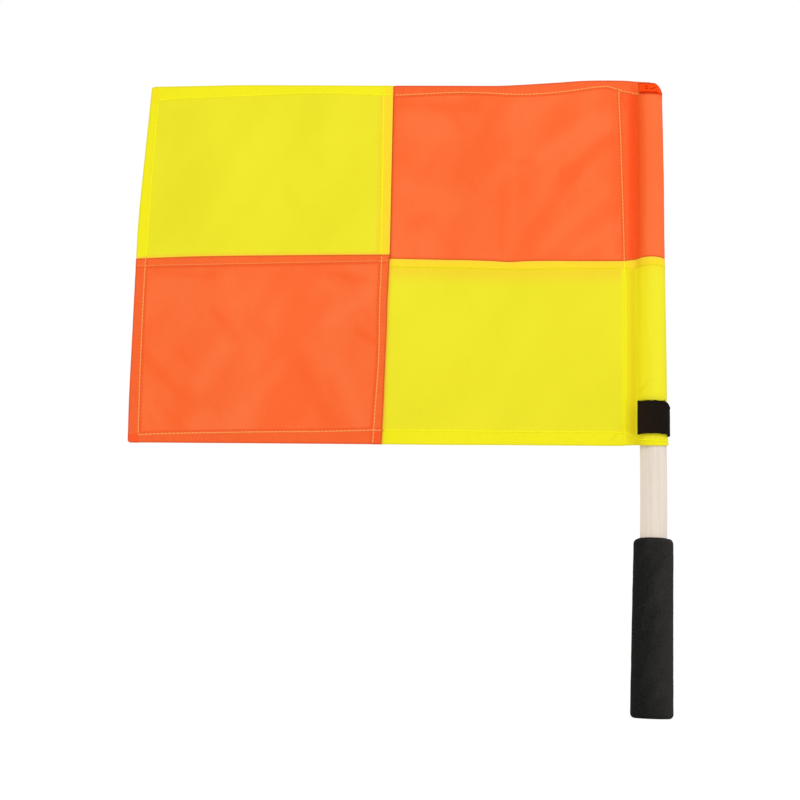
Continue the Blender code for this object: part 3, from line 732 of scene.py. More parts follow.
def fly_marks(upper):
    side_width = width_to(middle_seam, middle_row)
    hem_width = width_to(fly_edge, fly_row)
    edge, row = (top_edge, top_row_on_fly) if upper else (bottom_edge, bottom_row)
    edge_width = width_to(edge, row)
    lap_width = width_to(fly_cross, fly_cross_row)

    def marks(x, z):
        from_fly, from_seam = x - fly_edge(z), middle_seam(z) - x
        from_edge, from_cross = abs(edge(x) - z), abs(fly_cross(x) - z)
        side_lap, level_lap = side_width(z) - from_seam, lap_width(x) - from_cross
        hems = hem_width(z) - from_fly, edge_width(x) - from_edge
        nearest = min(abs(past_corner(*hems)), abs(side_lap))
        if upper:
            lap = max(near(side_lap), behind(z - fly_cross(x)))
        else:
            lap = near(max(side_lap, level_lap))
            nearest = min(nearest, abs(level_lap))
        corner = max(min(*hems), min(hems[1], side_lap))
        seam = min(from_seam, from_cross)
        rim = min(abs(from_fly), from_edge)
        slack = 0 if upper else slack_at(x, z, LOWER_FLY_CREASES)
        far = {"tail": -1.0, "crease": -1.0, "end": -1.0, "rim": rim, "slack": slack}
        return {"hem": max(hems), "corner": corner, "lap": lap, "seam": seam, "row": nearest, **far}

    return marks


def rounded_corner(sign, edge):
    """Rounds the free corner of a fly panel, where the top or bottom edge meets the fly edge."""

    def settle(point):
        a = 1 - (point.x - fly_edge(point.z)) / CORNER_ROUND
        b = 1 - sign * (edge(point.x) - point.z) / CORNER_ROUND
        if a > 0 and b > 0:
            a, b = min(a, 1), min(b, 1)
            point.x += (a - a * math.sqrt(1 - b * b / 2)) * CORNER_ROUND
            point.z -= sign * (b - b * math.sqrt(1 - a * a / 2)) * CORNER_ROUND
        return point

    return settle


fly_hem = turned_in(fly_edge, fly_row, 1, SIDE_FOLD)
fly_lap = turned_in(middle_seam, middle_row, -1, SIDE_FOLD)
steps = round(FLY_SPREAD / CLOTH_STEP)
fly_columns = turned_columns(fly_hem, 1) + flat_columns(filled(fly_hem[-1][0], fly_lap[-1][0], steps))
fly_columns += turned_columns(fly_lap, -1)[::-1]
upper_rows = panel_rows(
    laid_rows(laid_behind(fly_cross, fly_cross_row, 1)),
    turned_rows(turned_in(top_edge, top_row_on_fly, -1, EDGE_FOLD)),
)
lower_rows = panel_rows(
    turned_rows(turned_in(bottom_edge, bottom_row, 1, EDGE_FOLD)),
    turned_rows(turned_in(fly_cross, fly_cross_row, -1, EDGE_FOLD)),
)
upper_fly = lay_cloth(
    "upper_fly_cloth", fly_columns, upper_rows, yellow, fly_marks(True), rounded_corner(1, top_edge)
)
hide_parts("upper_fly_panel")
lower_fly = lay_cloth(
    "lower_fly_cloth", fly_columns, lower_rows, orange, fly_marks(False), rounded_corner(-1, bottom_edge)
)
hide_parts("lower_fly_panel")
for panel in (upper_fly, lower_fly):
    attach(panel, "cloth")

# Hoist panels and sleeve
# Two more pieces of the same cloth, orange over yellow. Each runs on from its panel round the pole as the
# sleeve and back to the line of stitches, where its end is turned in behind and sewn down.
HOIST_SPREAD = 0.174
HOIST_BEHIND = 0.00099
CREASE = 0.0065
CREASE_AT = -0.0147
TAIL_HALF = 0.0005
TAIL_END = 0.0024
SEWN_HALF = 0.00014
TAIL_OPENS = 0.006
SLEEVE_STEPS = 44
SLEEVE_FROM = -0.0215
SLEEVE_FOOT_RADIUS = 0.0115
SLEEVE_FOOT_DIP = 0.0019
FOOT_DIP_FROM = 0.136
FOOT_DIP_FADE = 0.012
FOOT_SNUG = 0.12
FOOT_SNUG_FROM = 0.1345
FOOT_SNUG_FADE = 0.006
END_FROM = 0.4146
END_TO = 0.4298
END_HALF = 0.0003
END_ROUND = 0.0140
END_DRAWN = 0.0090
END_REACH = 0.0106
END_LEANS_OVER = 0.004
SLEEVE_SLACK = 0.00028
SLACK_OUTSIDE = 0.009
SLACK_REACH = 0.0135
SLACK_FADE = 0.004
# Wrinkles: the two ends of each, and how far it stands out
WRINKLES = (
    ((-0.0085, 0.1765), (-0.0010, 0.1845), 0.00050),
    ((-0.0040, 0.1742), (0.0030, 0.1800), 0.00030),
    ((0.0010, 0.1900), (0.0060, 0.1965), 0.00025),
    ((-0.0187, 0.1513), (-0.0140, 0.1375), 0.00045),
    ((-0.0175, 0.1700), (-0.0142, 0.1560), 0.00035),
)
WRINKLE_WIDTH = 0.0011
# Pinches, where shade is painted on the cloth: the two ends of each, and its width
PINCHES = (
    ((-0.0088, 0.1762), (-0.0035, 0.1835), 0.0014),
    ((-0.0203, 0.1495), (-0.0152, 0.1362), 0.0015),
    ((-0.0190, 0.1690), (-0.0196, 0.1560), 0.0012),
    ((-0.0300, 0.1395), (-0.0225, 0.1500), 0.0010),
    ((-0.0225, 0.4190), (-0.0192, 0.4090), 0.0014),
    ((-0.0162, 0.1640), (-0.0148, 0.1370), 0.0022),
    ((-0.0118, 0.4280), (-0.0124, 0.4195), 0.0020),
    ((-0.0130, 0.1375), (-0.0070, 0.1395), 0.0032),
    ((0.0020, 0.1410), (0.0110, 0.1395), 0.0016),
)
SLEEVE_ROW_TOP = 0.4232
sleeve_radius = through(
    (134, 12.3), (139, 12.0), (145, 11.25), (167, 11.2), (174, 11.4), (206, 11.4), (242, 11.1),
    (266, 10.85), (303, 10.5), (340, 10.4), (430, 10.4)
)


def sleeve_point(share, z):
    """The sleeve in plan at a height: share 0 is at its stitches in front, and 1 is the pole's far side."""
    radius = sleeve_radius(z)
    away = radius + CREASE
    crease_x = -math.sqrt(away**2 - (TAIL_HALF + CREASE) ** 2)
    meets = math.asin((TAIL_HALF + CREASE) / away)
    tail = crease_x - sleeve_row(z)
    bend = CREASE * (math.pi / 2 - meets)
    half_round = radius * (math.pi - meets)
    along = share * (tail + bend + half_round)
    if along < tail:
        half = blend(SEWN_HALF, TAIL_HALF, smooth_step(along / TAIL_OPENS))
        return sleeve_row(z) + along, -half, TO_THE_SHOWN_SIDE
    if along < tail + bend:
        angle = math.pi / 2 - (along - tail) / CREASE
        x = crease_x + CREASE * math.cos(angle)
        return x, -TAIL_HALF - CREASE + CREASE * math.sin(angle), angle + math.pi
    angle = math.pi + meets + (along - tail - bend) / radius
    return radius * math.cos(angle), radius * math.sin(angle), angle


def flattened(x, y, facing, z, half=END_HALF):
    """The sleeve drawn flat above the pole's end, where it is sewn shut. It narrows to half on each side."""
    up = min(max((z - END_FROM) / (END_TO - END_FROM), 0), 1)
    share = (up + smooth_step(up)) / 2
    y = math.copysign(blend(abs(y), min(abs(y), half), share), y)
    return x, y, math.atan2(math.sin(facing), math.cos(facing) * (1 - share))


def sleeve_column(share, front):
    """One upright line of the sleeve's cloth, on its front half or mirrored on its back half."""

    def column(z):
        x, y, facing = sleeve_point(share, z)
        return flattened(*((x, y, facing) if front else (x, -y, -facing)), z)

    return column


def round_end(point):
    """Rounds the free top corner of the sleeve's closed end, and leans it with the pole."""
    point.x += min(bow(point.z), 0) * smooth_step((point.x - CREASE_AT) / END_LEANS_OVER)
    above = min(max((point.z - END_TO + END_ROUND) / END_ROUND, 0), 1)
    point.x -= END_DRAWN * (1 - math.sqrt(1 - above**2)) * max(point.x, 0) / END_REACH
    return point


def settle_sleeve(point):
    """Lowers the sleeve's foot in front, and gives the cloth round the pole its slack and its wrinkles."""
    if point.x > SLEEVE_FROM:
        round_end(point)
        at_foot = 1 - smooth_step((point.z - FOOT_DIP_FROM) / FOOT_DIP_FADE)
        point.z += SLEEVE_FOOT_DIP * at_foot * point.y / SLEEVE_FOOT_RADIUS
        point.y *= 1 - FOOT_SNUG * (1 - smooth_step((point.z - FOOT_SNUG_FROM) / FOOT_SNUG_FADE))
        if point.y < 0:
            for start, end, depth in WRINKLES:
                swell = depth * pressed(point.x, point.z, (start, end), WRINKLE_WIDTH)
                point.x += swell * point.x / 0.03
                point.y += swell
        around = math.atan2(point.y, point.x)
        if math.hypot(point.x, point.y) > SLACK_OUTSIDE and point.z < END_FROM:
            along, aside = math.cos(around), math.sin(around)
            loose = noise.noise(Vector((along * 1.3, aside * 1.3, point.z * 26)))
            loose += 0.6 * noise.noise(Vector((along * 2.6, 4.0 + aside * 2.6, point.z * 75)))
            past_tail = smooth_step((SLACK_REACH - abs(point.x + 0.0005)) / SLACK_FADE)
            swell = SLEEVE_SLACK * max(loose + 0.15, 0) * past_tail
            point.x += swell * along
            point.y += swell * aside
    return point


def tail_end(z, share):
    """The sleeve's end behind the line of stitches, from the stitches (0) to its cut edge (1)."""
    return sleeve_row(z) - TAIL_END * share, SEWN_HALF, math.radians(90)


hoist_side = laid_behind(middle_seam, middle_row, 1)
hoist_columns = [
    lambda z, line=line, pressed=pressed: (line(z), HOIST_BEHIND * pressed, TO_THE_SHOWN_SIDE)
    for line, pressed in hoist_side
]
by_stitches = [past(sleeve_row, way) for way in (-0.0036, -0.0024, -0.0012, -0.0005)]
steps = round(HOIST_SPREAD / CLOTH_STEP)
hoist_columns += flat_columns(filled(hoist_side[-1][0], by_stitches[0], steps))
hoist_columns += [
    lambda z, line=line, y=y: (line(z), y, TO_THE_SHOWN_SIDE)
    for line, y in zip(by_stitches, (0, -0.00006, -0.00012, -SEWN_HALF))
]
hoist_columns += [sleeve_column(k / SLEEVE_STEPS, True) for k in range(SLEEVE_STEPS + 1)]
hoist_columns += [sleeve_column(k / SLEEVE_STEPS, False) for k in range(SLEEVE_STEPS - 1, -1, -1)]
hoist_columns += [lambda z, share=share: tail_end(z, share) for share in (0.5, 1.0)]


def hoist_marks(upper):
    edge, row = (top_edge, top_row_on_hoist) if upper else (bottom_edge, bottom_row)
    edge_width = width_to(edge, row)
    lap_width = width_to(hoist_cross, hoist_cross_row)

    def marks(x, z):
        from_seam = x - middle_seam(z)
        from_edge, from_cross = abs(edge(x) - z), abs(hoist_cross(x) - z)
        from_row = x - sleeve_row(z)
        end = min(from_row + TAIL_END, 0.0008 - from_row)
        hem = edge_width(x) - from_edge
        nearest = min(math.hypot(from_row, max(z - SLEEVE_ROW_TOP, 0)), abs(hem))
        if upper:
            lap = behind(min(from_seam, z - hoist_cross(x)))
        else:
            nearest = min(nearest, abs(lap_width(x) - from_cross))
            lap = max(lap_width(x) - from_cross, behind(from_seam))
        seam = min(abs(from_seam), from_cross)
        pinch = max(pressed(x, z, line, width) for *line, width in PINCHES) / 1000
        slack = slack_at(x, z, UPPER_HOIST_CREASES) if upper else 0
        sewn = {"hem": hem, "end": end, "corner": -1.0, "lap": lap, "seam": seam, "row": nearest}
        folds = {"tail": min(from_row, CREASE_AT - x), "crease": x - CREASE_AT}
        return {**sewn, **folds, "pinch": pinch, "slack": slack, "rim": from_edge}

    return marks


upper_rows = panel_rows(
    laid_rows(laid_behind(hoist_cross, hoist_cross_row, 1)),
    turned_rows(turned_in(top_edge, top_row_on_hoist, -1, EDGE_FOLD)),
)
lower_rows = panel_rows(
    turned_rows(turned_in(bottom_edge, bottom_row, 1, EDGE_FOLD)),
    turned_rows(turned_in(hoist_cross, hoist_cross_row, -1, EDGE_FOLD)),
)
upper_hoist = lay_cloth(
    "upper_hoist_cloth", hoist_columns, upper_rows, orange, hoist_marks(True), settle_sleeve
)
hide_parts("upper_hoist_panel", "upper_sleeve")
lower_hoist = lay_cloth(
    "lower_hoist_cloth", hoist_columns, lower_rows, yellow, hoist_marks(False), settle_sleeve
)
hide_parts("lower_hoist_panel", "lower_sleeve")
for panel in (upper_hoist, lower_hoist):
    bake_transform(panel)

# End patch
# A doubled strip of deeper orange cloth over the sleeve's closed top. It is tacked down by a short row and a
# few slanting stitches.
PATCH_FOOT = 0.4153
PATCH_HEAD = 0.4291
PATCH_OUTWARD = 0.0004
PATCH_REACH = 140
PATCH_THICKNESS = 0.0003
PATCH_SHADED_TO = -0.0120
patch_radius = sleeve_radius(PATCH_FOOT) + PATCH_OUTWARD
patch_foot = through(
    (-11, 419.2), (-8.9, 418.5), (-5, 417.1), (0, 416.4), (5, 416.7), (8, 417.5), (11, 419.2)
)
patch_plain, patch_doubled = paint(255, 74, 3), paint(243, 62, 6)
deep_orange = cloth_finish(
    "deep_orange_polyester", row_reach=(0.2, 0.9), edge_reach=(0.4, 1.2), line_reach=(0.05, 0.3),
    fold_reach=(1.0, 5.0), lap_reach=(-0.4, -0.2), lap_share=0.0,
    plain=patch_plain, light=paint(255, 88, 12), deep=paint(240, 60, 2), doubled=patch_doubled,
    tail=patch_doubled, creased=paint(232, 42, 2), lifted=patch_plain, sleeve=patch_plain,
    over_other=patch_doubled, near_other=paint(225, 50, 4), corner=patch_doubled,
    beside_row=paint(214, 38, 2), rim=paint(166, 40, 6), seam_edge=paint(228, 50, 4),
    seam_line=paint(204, 34, 2)
)
deep_orange.set("Specular IOR Level", 0.04)


def patch_column(angle):
    """One upright line of the patch, at an angle round the sleeve."""
    along, aside = patch_radius * math.cos(angle), patch_radius * math.sin(angle)
    return lambda z: flattened(along, aside, angle, z, END_HALF + PATCH_OUTWARD)


# The patch gets painted shade beside its left fold, from PATCH_SHADED_TO, and along its top edge.
def patch_marks(x, z):
    plain = {"hem": -1.0, "end": -1.0, "corner": -1.0, "lap": -1.0, "row": 1.0, "tail": -1.0, "slack": 0}
    return {**plain, "seam": z - patch_foot(x), "crease": x - PATCH_SHADED_TO, "rim": PATCH_HEAD - z}


columns = [patch_column(math.radians(blend(-PATCH_REACH, PATCH_REACH, k / 44))) for k in range(45)]
rows = [
    (lambda x, k=k: blend(patch_foot(x), PATCH_HEAD, k / 10), 0.00005 * noise.noise((k, 2, 5)))
    for k in range(11)
]
patch = lay_cloth("end_patch_cloth", columns, rows, deep_orange, patch_marks, round_end, PATCH_THICKNESS)
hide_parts("end_patch")
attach(patch, "sleeve")

# Rows of stitches
# Lockstitch of twisted polyester thread, about eight stitches to the inch, through every hem and seam.
# It is light orange on the orange cloth and bright yellow on the yellow.
STITCH_PITCH = 0.003
STITCH_SIZE = (0.00140, 0.00030, 0.00330)
STITCH_OUT = 0.00018
ROW_STEP = 0.001
FLY_ROW_ABOUT = -0.399
TAIL_BEHIND = 0.00026
TACK_OUT = 0.0003
TACK_UP = 0.0013
# Slanting stitches: the two ends of each, in degrees round the sleeve and in height
TACKS = (((-108, 0.4246), (-93, 0.4262)), ((-108, 0.4218), (-94, 0.4228)), ((-88, 0.4214), (-52, 0.4246)))


def thread_finish(name, light, dark):
    thread = Finish(name, Roughness=0.5, Specular_IOR_Level=0.12)
    here = thread.place()
    twist = thread.node(
        "ShaderNodeTexWave",
        {"bands_direction": "DIAGONAL"},
        {"Vector": here, "Scale": 620.0, "Distortion": 1.5},
    )
    fibre = thread.cloud(here, 2400.0, 2.0)
    thread.set("Base Color", thread.mix(twist * 0.5 + fibre.past(0.4, 0.7) * 0.4, light, dark))
    thread.set("Roughness", 0.42 + fibre * 0.2)
    thread.bump(twist + fibre * 0.5, 0.00004)
    return thread


yellow_thread = thread_finish("yellow_thread", paint(255, 252, 30), paint(253, 246, 14))
orange_thread = thread_finish("light_orange_thread", paint(255, 160, 88), paint(255, 148, 74))
# Painted shade: darker copies of the two threads, for the rows along the cross seams.
sunk_orange_thread = thread_finish("sunk_orange_thread", paint(255, 138, 74), paint(250, 124, 58))
sunk_yellow_thread = thread_finish("sunk_yellow_thread", paint(250, 228, 24), paint(244, 218, 12))


def add_copies(bm, shape, places):
    """Adds a copy of a small mesh at each place, given as a matrix."""
    for place in places:
        copy = shape.copy()
        copy.transform(place)
        bm.from_mesh(copy)
        bpy.data.meshes.remove(copy)


bm = bmesh.new()
bmesh.ops.create_uvsphere(bm, u_segments=6, v_segments=5, radius=0.5)
stitch = as_mesh("stitch", bm)


def add_stitches(name, finish, rows):
    """One piece from rows of (place, outward way) points, with a stitch at every pitch along each row."""
    places = []
    wide, high, long = STITCH_SIZE
    for row in rows:
        travelled, due = 0.0, STITCH_PITCH / 2
        for (start, out), (end, _) in zip(row, row[1:]):
            step = (end - start).length
            while due <= travelled + step:
                place = start.lerp(end, (due - travelled) / step)
                along = (end - start).normalized()
                aside = along.cross(out).normalized()
                out = aside.cross(along)
                along = (along + aside * 0.05 * noise.noise(place * 900)).normalized()
                turn = Matrix((aside * wide, out * high, along * long)).transposed().to_4x4()
                places.append(Matrix.Translation(place) @ turn)
                due += STITCH_PITCH
            travelled += step
    bm = bmesh.new()
    add_copies(bm, stitch, places)
    bmesh.ops.recalc_face_normals(bm, faces=bm.faces)
    piece = add_piece(name, bm, finish)
    return piece


def level_bands(x, z):
    """Whether a point lies in a hem or lap along a level edge, which raises the cloth's face."""
    top, cross, low = (
        (top_row_on_fly, fly_cross, fly_cross_row)
        if x < middle_seam(z)
        else (top_row_on_hoist, hoist_cross, hoist_cross_row)
    )
    return z > top(x) - ROW_IN_HEM or z < bottom_row(x) + ROW_IN_HEM or low(x) - ROW_IN_HEM < z < cross(x)


def back_face(x, z):
    """How far behind the cloth's plane its back lies, which is most where the turned-in layers pile up."""
    if middle_row(z) - ROW_IN_HEM < x < middle_seam(z) + 0.0006:
        return HOIST_BEHIND + CLOTH_THICKNESS
    if x < fly_row(z) + ROW_IN_HEM:
        return 2 * SIDE_FOLD + CLOTH_THICKNESS
    if x > sleeve_row(z) - TAIL_END - 0.0002:
        return TAIL_BEHIND
    return CLOTH_THICKNESS


def on_panel(points):
    """Rows of stitches on the spread cloth, on its face and on its back."""
    front, back = [], []
    for x, z in points:
        raised = HEM_RAISES * level_bands(x, z) + (SEWN_HALF if x > sleeve_row(z) - ROW_STEP else 0)
        front.append((hang(Vector((x, -CLOTH_THICKNESS - raised, z)), x, z), Vector((0, -1, 0))))
        below = LAID_BELOW if hoist_cross_row(x) - ROW_IN_HEM < z < fly_cross(x) else 0
        y = back_face(x, z) + below + CLOTH_THICKNESS / 2
        back.append((hang(Vector((x, y, z)), x, z), Vector((0, 1, 0))))
    return [front, back]


def evenly(start, end):
    """Places about a millimetre apart, from start to end."""
    count = round(abs(end - start) / ROW_STEP)
    return [blend(start, end, k / count) for k in range(count + 1)]


def level_row(row, start, end):
    return on_panel([(x, row(x)) for x in evenly(start, end)])


def upright_row(row, start, end):
    return on_panel([(row(z), z) for z in evenly(start, end)])


def round_sleeve(row, start, end):
    """Rows of stitches along shares of the sleeve's front and back half. row gives their height at x."""
    halves = []
    for side in (1, -1):
        points = []
        for k in range(61):
            share = blend(start, end, k / 60)
            height = row(sleeve_point(share, MID_HEIGHT)[0])
            x, y, facing = flattened(*sleeve_point(share, height), height)
            normal = Vector((math.cos(facing), side * math.sin(facing), 0))
            point = settle_sleeve(Vector((x, side * y, height)) + normal * STITCH_OUT)
            points.append((hang(point, x, height) if x < DRAPED_FROM else point, normal))
        halves.append(points)
    return halves


def corner_row(level, start, end, way):
    """A row along the fly hem from a height, round the corner and on along a level hem as far as end.

    way is 1 where the fly hem comes down to the corner, and -1 where it comes up.
    """
    corner_z = level(fly_row(level(FLY_ROW_ABOUT)))
    turn_z, turn_x = corner_z + way * ROW_ROUND, fly_row(corner_z) + ROW_ROUND
    points = [(fly_row(z), z) for z in evenly(start, turn_z)[:-1]]
    for x, z in arc((turn_x, 0), ROW_ROUND, 180, 270, 6):
        points.append((x, turn_z + way * z))
    return points + [(x, level(x)) for x in evenly(turn_x, end)[1:]]


rows = {
    "fly_and_top_hem_stitches": (
        yellow_thread, "fly", on_panel(corner_row(top_row_on_fly, 0.2825, -0.2072, -1)),
        ["fly_hem_thread", "top_hem_thread"],
    ),
    "fly_and_bottom_hem_stitches": (
        orange_thread, "fly", on_panel(corner_row(bottom_row, 0.2825, -0.2047, 1)), ["bottom_hem_thread"]
    ),
    "middle_seam_stitches_upper": (
        yellow_thread, "fly", upright_row(middle_row, 0.2855, 0.4275), ["vertical_seam_thread"]
    ),
    "middle_seam_stitches_lower": (orange_thread, "fly", upright_row(middle_row, 0.1342, 0.2845), []),
    "cross_seam_stitches_fly": (
        sunk_orange_thread, "fly", level_row(fly_cross_row, -0.4082, -0.2045), ["fly_cross_seam_thread"]
    ),
    "top_hem_stitches_hoist": (
        orange_thread, "hoist",
        level_row(top_row_on_hoist, -0.2040, -0.0240) + round_sleeve(top_row_on_hoist, 0.02, 0.40),
        ["sleeve_top_hem_thread"],
    ),
    "bottom_hem_stitches_hoist": (
        yellow_thread, "hoist",
        level_row(bottom_row, -0.2028, -0.0225) + round_sleeve(bottom_row, 0.02, 1.0),
        ["sleeve_hem_thread_front", "sleeve_hem_thread_back"],
    ),
    "cross_seam_stitches_hoist": (
        sunk_yellow_thread, "hoist",
        level_row(hoist_cross_row, -0.2028, -0.0225) + round_sleeve(hoist_cross_row, 0.02, 1.0),
        ["hoist_cross_seam_thread", "sleeve_cross_seam_thread"],
    ),
    "sleeve_stitches_upper": (
        orange_thread, "hoist", upright_row(sleeve_row, 0.2815, SLEEVE_ROW_TOP), ["sleeve_seam_thread"]
    ),
    "sleeve_stitches_lower": (yellow_thread, "hoist", upright_row(sleeve_row, 0.1365, 0.2805), []),
}
for name, (finish, side, sewn, nodes) in rows.items():
    slot_name = "yellow_thread" if finish in (yellow_thread, sunk_yellow_thread) else "orange_thread"
    piece = add_stitches(name, finish, sewn)
    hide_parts(*nodes)
    if side == "fly":
        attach(piece, "cloth")
    else:
        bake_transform(piece)


def tack(points):
    """A row on the end patch through (degrees round the sleeve, height) points."""
    row = []
    for degrees, height in points:
        x, y, facing = patch_column(math.radians(degrees))(height)
        normal = Vector((math.cos(facing), math.sin(facing), 0))
        row.append((round_end(Vector((x, y, height)) + normal * TACK_OUT), normal))
    return row


tacks = []
for first, last in ((-132, -50), (50, 132)):
    angles = [blend(first, last, k / 30) for k in range(31)]
    tacks.append(
        tack([(a, patch_foot(patch_radius * math.cos(math.radians(a))) + TACK_UP) for a in angles])
    )
for (first, low), (last, high) in TACKS:
    tacks.append(tack([(blend(first, last, k / 8), blend(low, high, k / 8)) for k in range(9)]))
dark_thread = thread_finish("deep_orange_thread", paint(212, 44, 4), paint(188, 30, 2))
dark_thread.set("Specular IOR Level", 0.02)
tacks = add_stitches("end_patch_stitches", dark_thread, tacks)
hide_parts("end_patch_thread")
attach(tacks, "sleeve")

# Strap
# Black hook-and-loop tape. One end is sewn to the sleeve's back in a box of stitches. The hooked end wraps to
# the front, where it sticks to a patch of loops and holds the sleeve to the pole.
STRAP_FOOT = 0.1432
STRAP_HEAD = 0.1682
BAND_RADIUS = 0.0123
TAB_RADIUS = 0.0133
TAPE = 0.0008
BAND_STARTS = 150
TAB_LEAVES = -125
TAB_FREE = 0.0044
TAB_LIFTS = 0.0006
STRAP_SLACK = 0.00025
STRAP_CURL = 0.0003
STRAP_WAVE = 0.0003
STRAP_SAG = 0.0002
CORNER_DIP = 0.0038
TIP_DROOP = 0.0007
EDGE_FIBRES = 240
END_FIBRES = 26
FIBRE_ROOT = 0.0002
FIBRE_SEED = 27
# Tufts on the upper edge: degrees round the sleeve, spread in degrees, and length
TUFTS = ((-122, 10, 0.0009), (-50, 6, 0.0015), (-80, 30, 0.0003))
HOOKS_FROM = -30
HOOK_PITCH = 0.0015
# The sewn box's corners: degrees round the sleeve, and share of the strap's width
BOX = ((132, 0.13), (132, 0.87), (74, 0.87), (74, 0.13))

tape = Finish("black_hook_and_loop_tape", Roughness=0.85, Specular_IOR_Level=0.04)
here = tape.place()
ribs = tape.node(
    "ShaderNodeTexWave", {"bands_direction": "Z"}, {"Vector": here, "Scale": 480.0, "Distortion": 2.0}
)
nap = tape.cloud(here, 1500.0, 3.0, 0.7)
lint = tape.cloud(tape.place(scale=(1.0, 1.0, 3.0)), 900.0, 2.0).past(0.70, 0.78)
across = tape.node("ShaderNodeSeparateXYZ", {}, [here], "X")
# Painted light and shade: the strap's left part is painted a lighter warm brown, and its right part, towards
# the lamp, darker.
painted_side_shading = 1 - (across * 1000).past(-12, 11)
tone = tape.mix(painted_side_shading, paint(20, 17, 14), paint(38, 27, 14))
tone = tape.mix(nap.past(0.35, 0.7) * 0.5, tone, paint(45, 38, 34))
tone = tape.mix(ribs * 0.3, tone, paint(18, 15, 12))
tape.set("Base Color", tape.mix(lint * 0.3, tone, paint(80, 68, 62)))
tape.set("Roughness", 0.75 + nap * 0.2)
tape.bump(nap + ribs * 0.6, 0.0003)


def tape_point(share):
    """The strap's middle line in plan: share 0 is its sewn end behind, and 1 its free end in front."""
    straight = math.degrees(TAB_FREE / TAB_RADIUS)
    angle = BAND_STARTS - share * (BAND_STARTS - TAB_LEAVES + straight)
    radius = blend(BAND_RADIUS, TAB_RADIUS, smooth_step((16 - angle) / 34))
    around = math.radians(max(angle, TAB_LEAVES))
    outward = Vector((math.cos(around), math.sin(around), 0))
    free = math.radians(max(TAB_LEAVES - angle, 0)) * TAB_RADIUS
    way = Vector((outward.y, -outward.x, 0))
    return outward * (radius + TAB_LIFTS * (free / TAB_FREE) ** 2) + way * free, outward


def tape_share(degrees):
    """How far along the strap a place round the sleeve is."""
    return (BAND_STARTS - degrees) / (BAND_STARTS - TAB_LEAVES + math.degrees(TAB_FREE / TAB_RADIUS))


def degrees_round(outward):
    return math.degrees(math.atan2(outward.y, outward.x))


def on_tape(share, up, out=0.0):
    """A point that far out from the strap's middle. up is 0 at the lower edge and 1 at the upper."""
    place, outward = tape_point(share)
    slack = STRAP_SLACK * noise.noise(Vector((share * 9, up * 3, 0.7))) * smooth_step(share / 0.5)
    place += (slack + STRAP_CURL * smooth_step((up - 0.9) / 0.1) + out) * outward
    degrees = degrees_round(outward)
    edge = STRAP_WAVE * noise.noise(Vector((share * 22, 9.1, round(up) * 4.0))) * abs(2 * up - 1)
    sag = STRAP_SAG * smooth_step((degrees + 42) / 45)
    dip = CORNER_DIP * up**3 * smooth_step((degrees + 52) / 44) * smooth_step((60 - degrees) / 40)
    droop = TIP_DROOP * smooth_step((share - 0.93) / 0.07) * (1 - up) ** 3
    place.z = blend(STRAP_FOOT, STRAP_HEAD, up) + edge - sag - dip - droop
    return place, outward


def ride_strap(piece):
    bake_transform(piece)


bm = bmesh.new()
bmesh.ops.create_grid(bm, x_segments=90, y_segments=22, size=0.5)
for vertex in bm.verts:
    vertex.co = on_tape(vertex.co.x + 0.5, vertex.co.y + 0.5)[0]
strap = add_piece("hook_and_loop_strap", bm, tape)
give_wall(strap, TAPE)
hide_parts("strap_band", "strap_tab")
ride_strap(strap)

bm = bmesh.new()
bmesh.ops.create_cone(
    bm, cap_ends=True, segments=4, radius1=1, radius2=0.3, depth=1, matrix=Matrix.Translation((0, 0, 0.5))
)
fibre = as_mesh("fibre", bm)


def turn_to(way):
    """The turn that points a shape's Z axis along a way."""
    return way.to_track_quat("Z", "Y").to_matrix().to_4x4()


def stand(root, way, length, thick):
    """Where a thin tapered fibre or bristle stands on a point."""
    return Matrix.Translation(root) @ turn_to(way) @ Matrix.Diagonal((thick, thick, length, 1))


def add_pile(name, shape, places, finish):
    bm = bmesh.new()
    add_copies(bm, shape, places)
    return add_piece(name, bm, finish)


noise.seed_set(FIBRE_SEED)
places = []
for k in range(EDGE_FIBRES):
    share = (k + 0.5) / EDGE_FIBRES
    spread = noise.noise_vector(Vector((k * 0.37, 5.2, 1.1)))
    for up in (0, 1):
        root, outward = on_tape(share, up, 0.0003 * spread.x)
        degrees = degrees_round(outward)
        tuft = sum(long * math.exp(-(((degrees - at) / wide) ** 2)) for at, wide, long in TUFTS)
        length = (0.0003 + up * tuft) * (0.5 + abs(spread.y) * 1.6)
        way = Vector((spread.x * 0.9, spread.y * 0.5, 2 * up - 1))
        places.append(stand(root - way * FIBRE_ROOT, way, length + FIBRE_ROOT, 0.00009))
for k in range(END_FIBRES):
    spread = noise.noise_vector(Vector((k * 0.53, 1.2, 7.1)))
    root, outward = on_tape(1.0, (k + 0.5) / END_FIBRES, 0.0002 * spread.z)
    way = Vector((outward.y, -outward.x, spread.x * 0.8))
    places.append(stand(root - way * FIBRE_ROOT, way, 0.00035 + 0.0004 * abs(spread.y), 0.00008))
fibres = add_pile("strap_edge_fibres", fibre, places, tape)
ride_strap(fibres)

places = []
across = round((STRAP_HEAD - STRAP_FOOT) / HOOK_PITCH)
along = round(math.radians(HOOKS_FROM - TAB_LEAVES) * TAB_RADIUS / HOOK_PITCH)
for i in range(along):
    for j in range(across):
        share = tape_share(blend(HOOKS_FROM, TAB_LEAVES, (i + 0.5) / along))
        root, outward = on_tape(share, (j + 0.5) / across, -TAPE / 2)
        stem = Vector((0, 0, 0.35 if (i + j) % 2 else -0.35)) - outward
        places.append(stand(root - stem * 0.0001, stem, 0.00055, 0.00009))
        tip = root + stem.normalized() * 0.00040
        places.append(stand(tip, outward * 0.25 + Vector((0, 0, stem.z * 3)), 0.00022, 0.00007))
hooks = add_pile("strap_hooks", fibre, places, tape)
ride_strap(hooks)

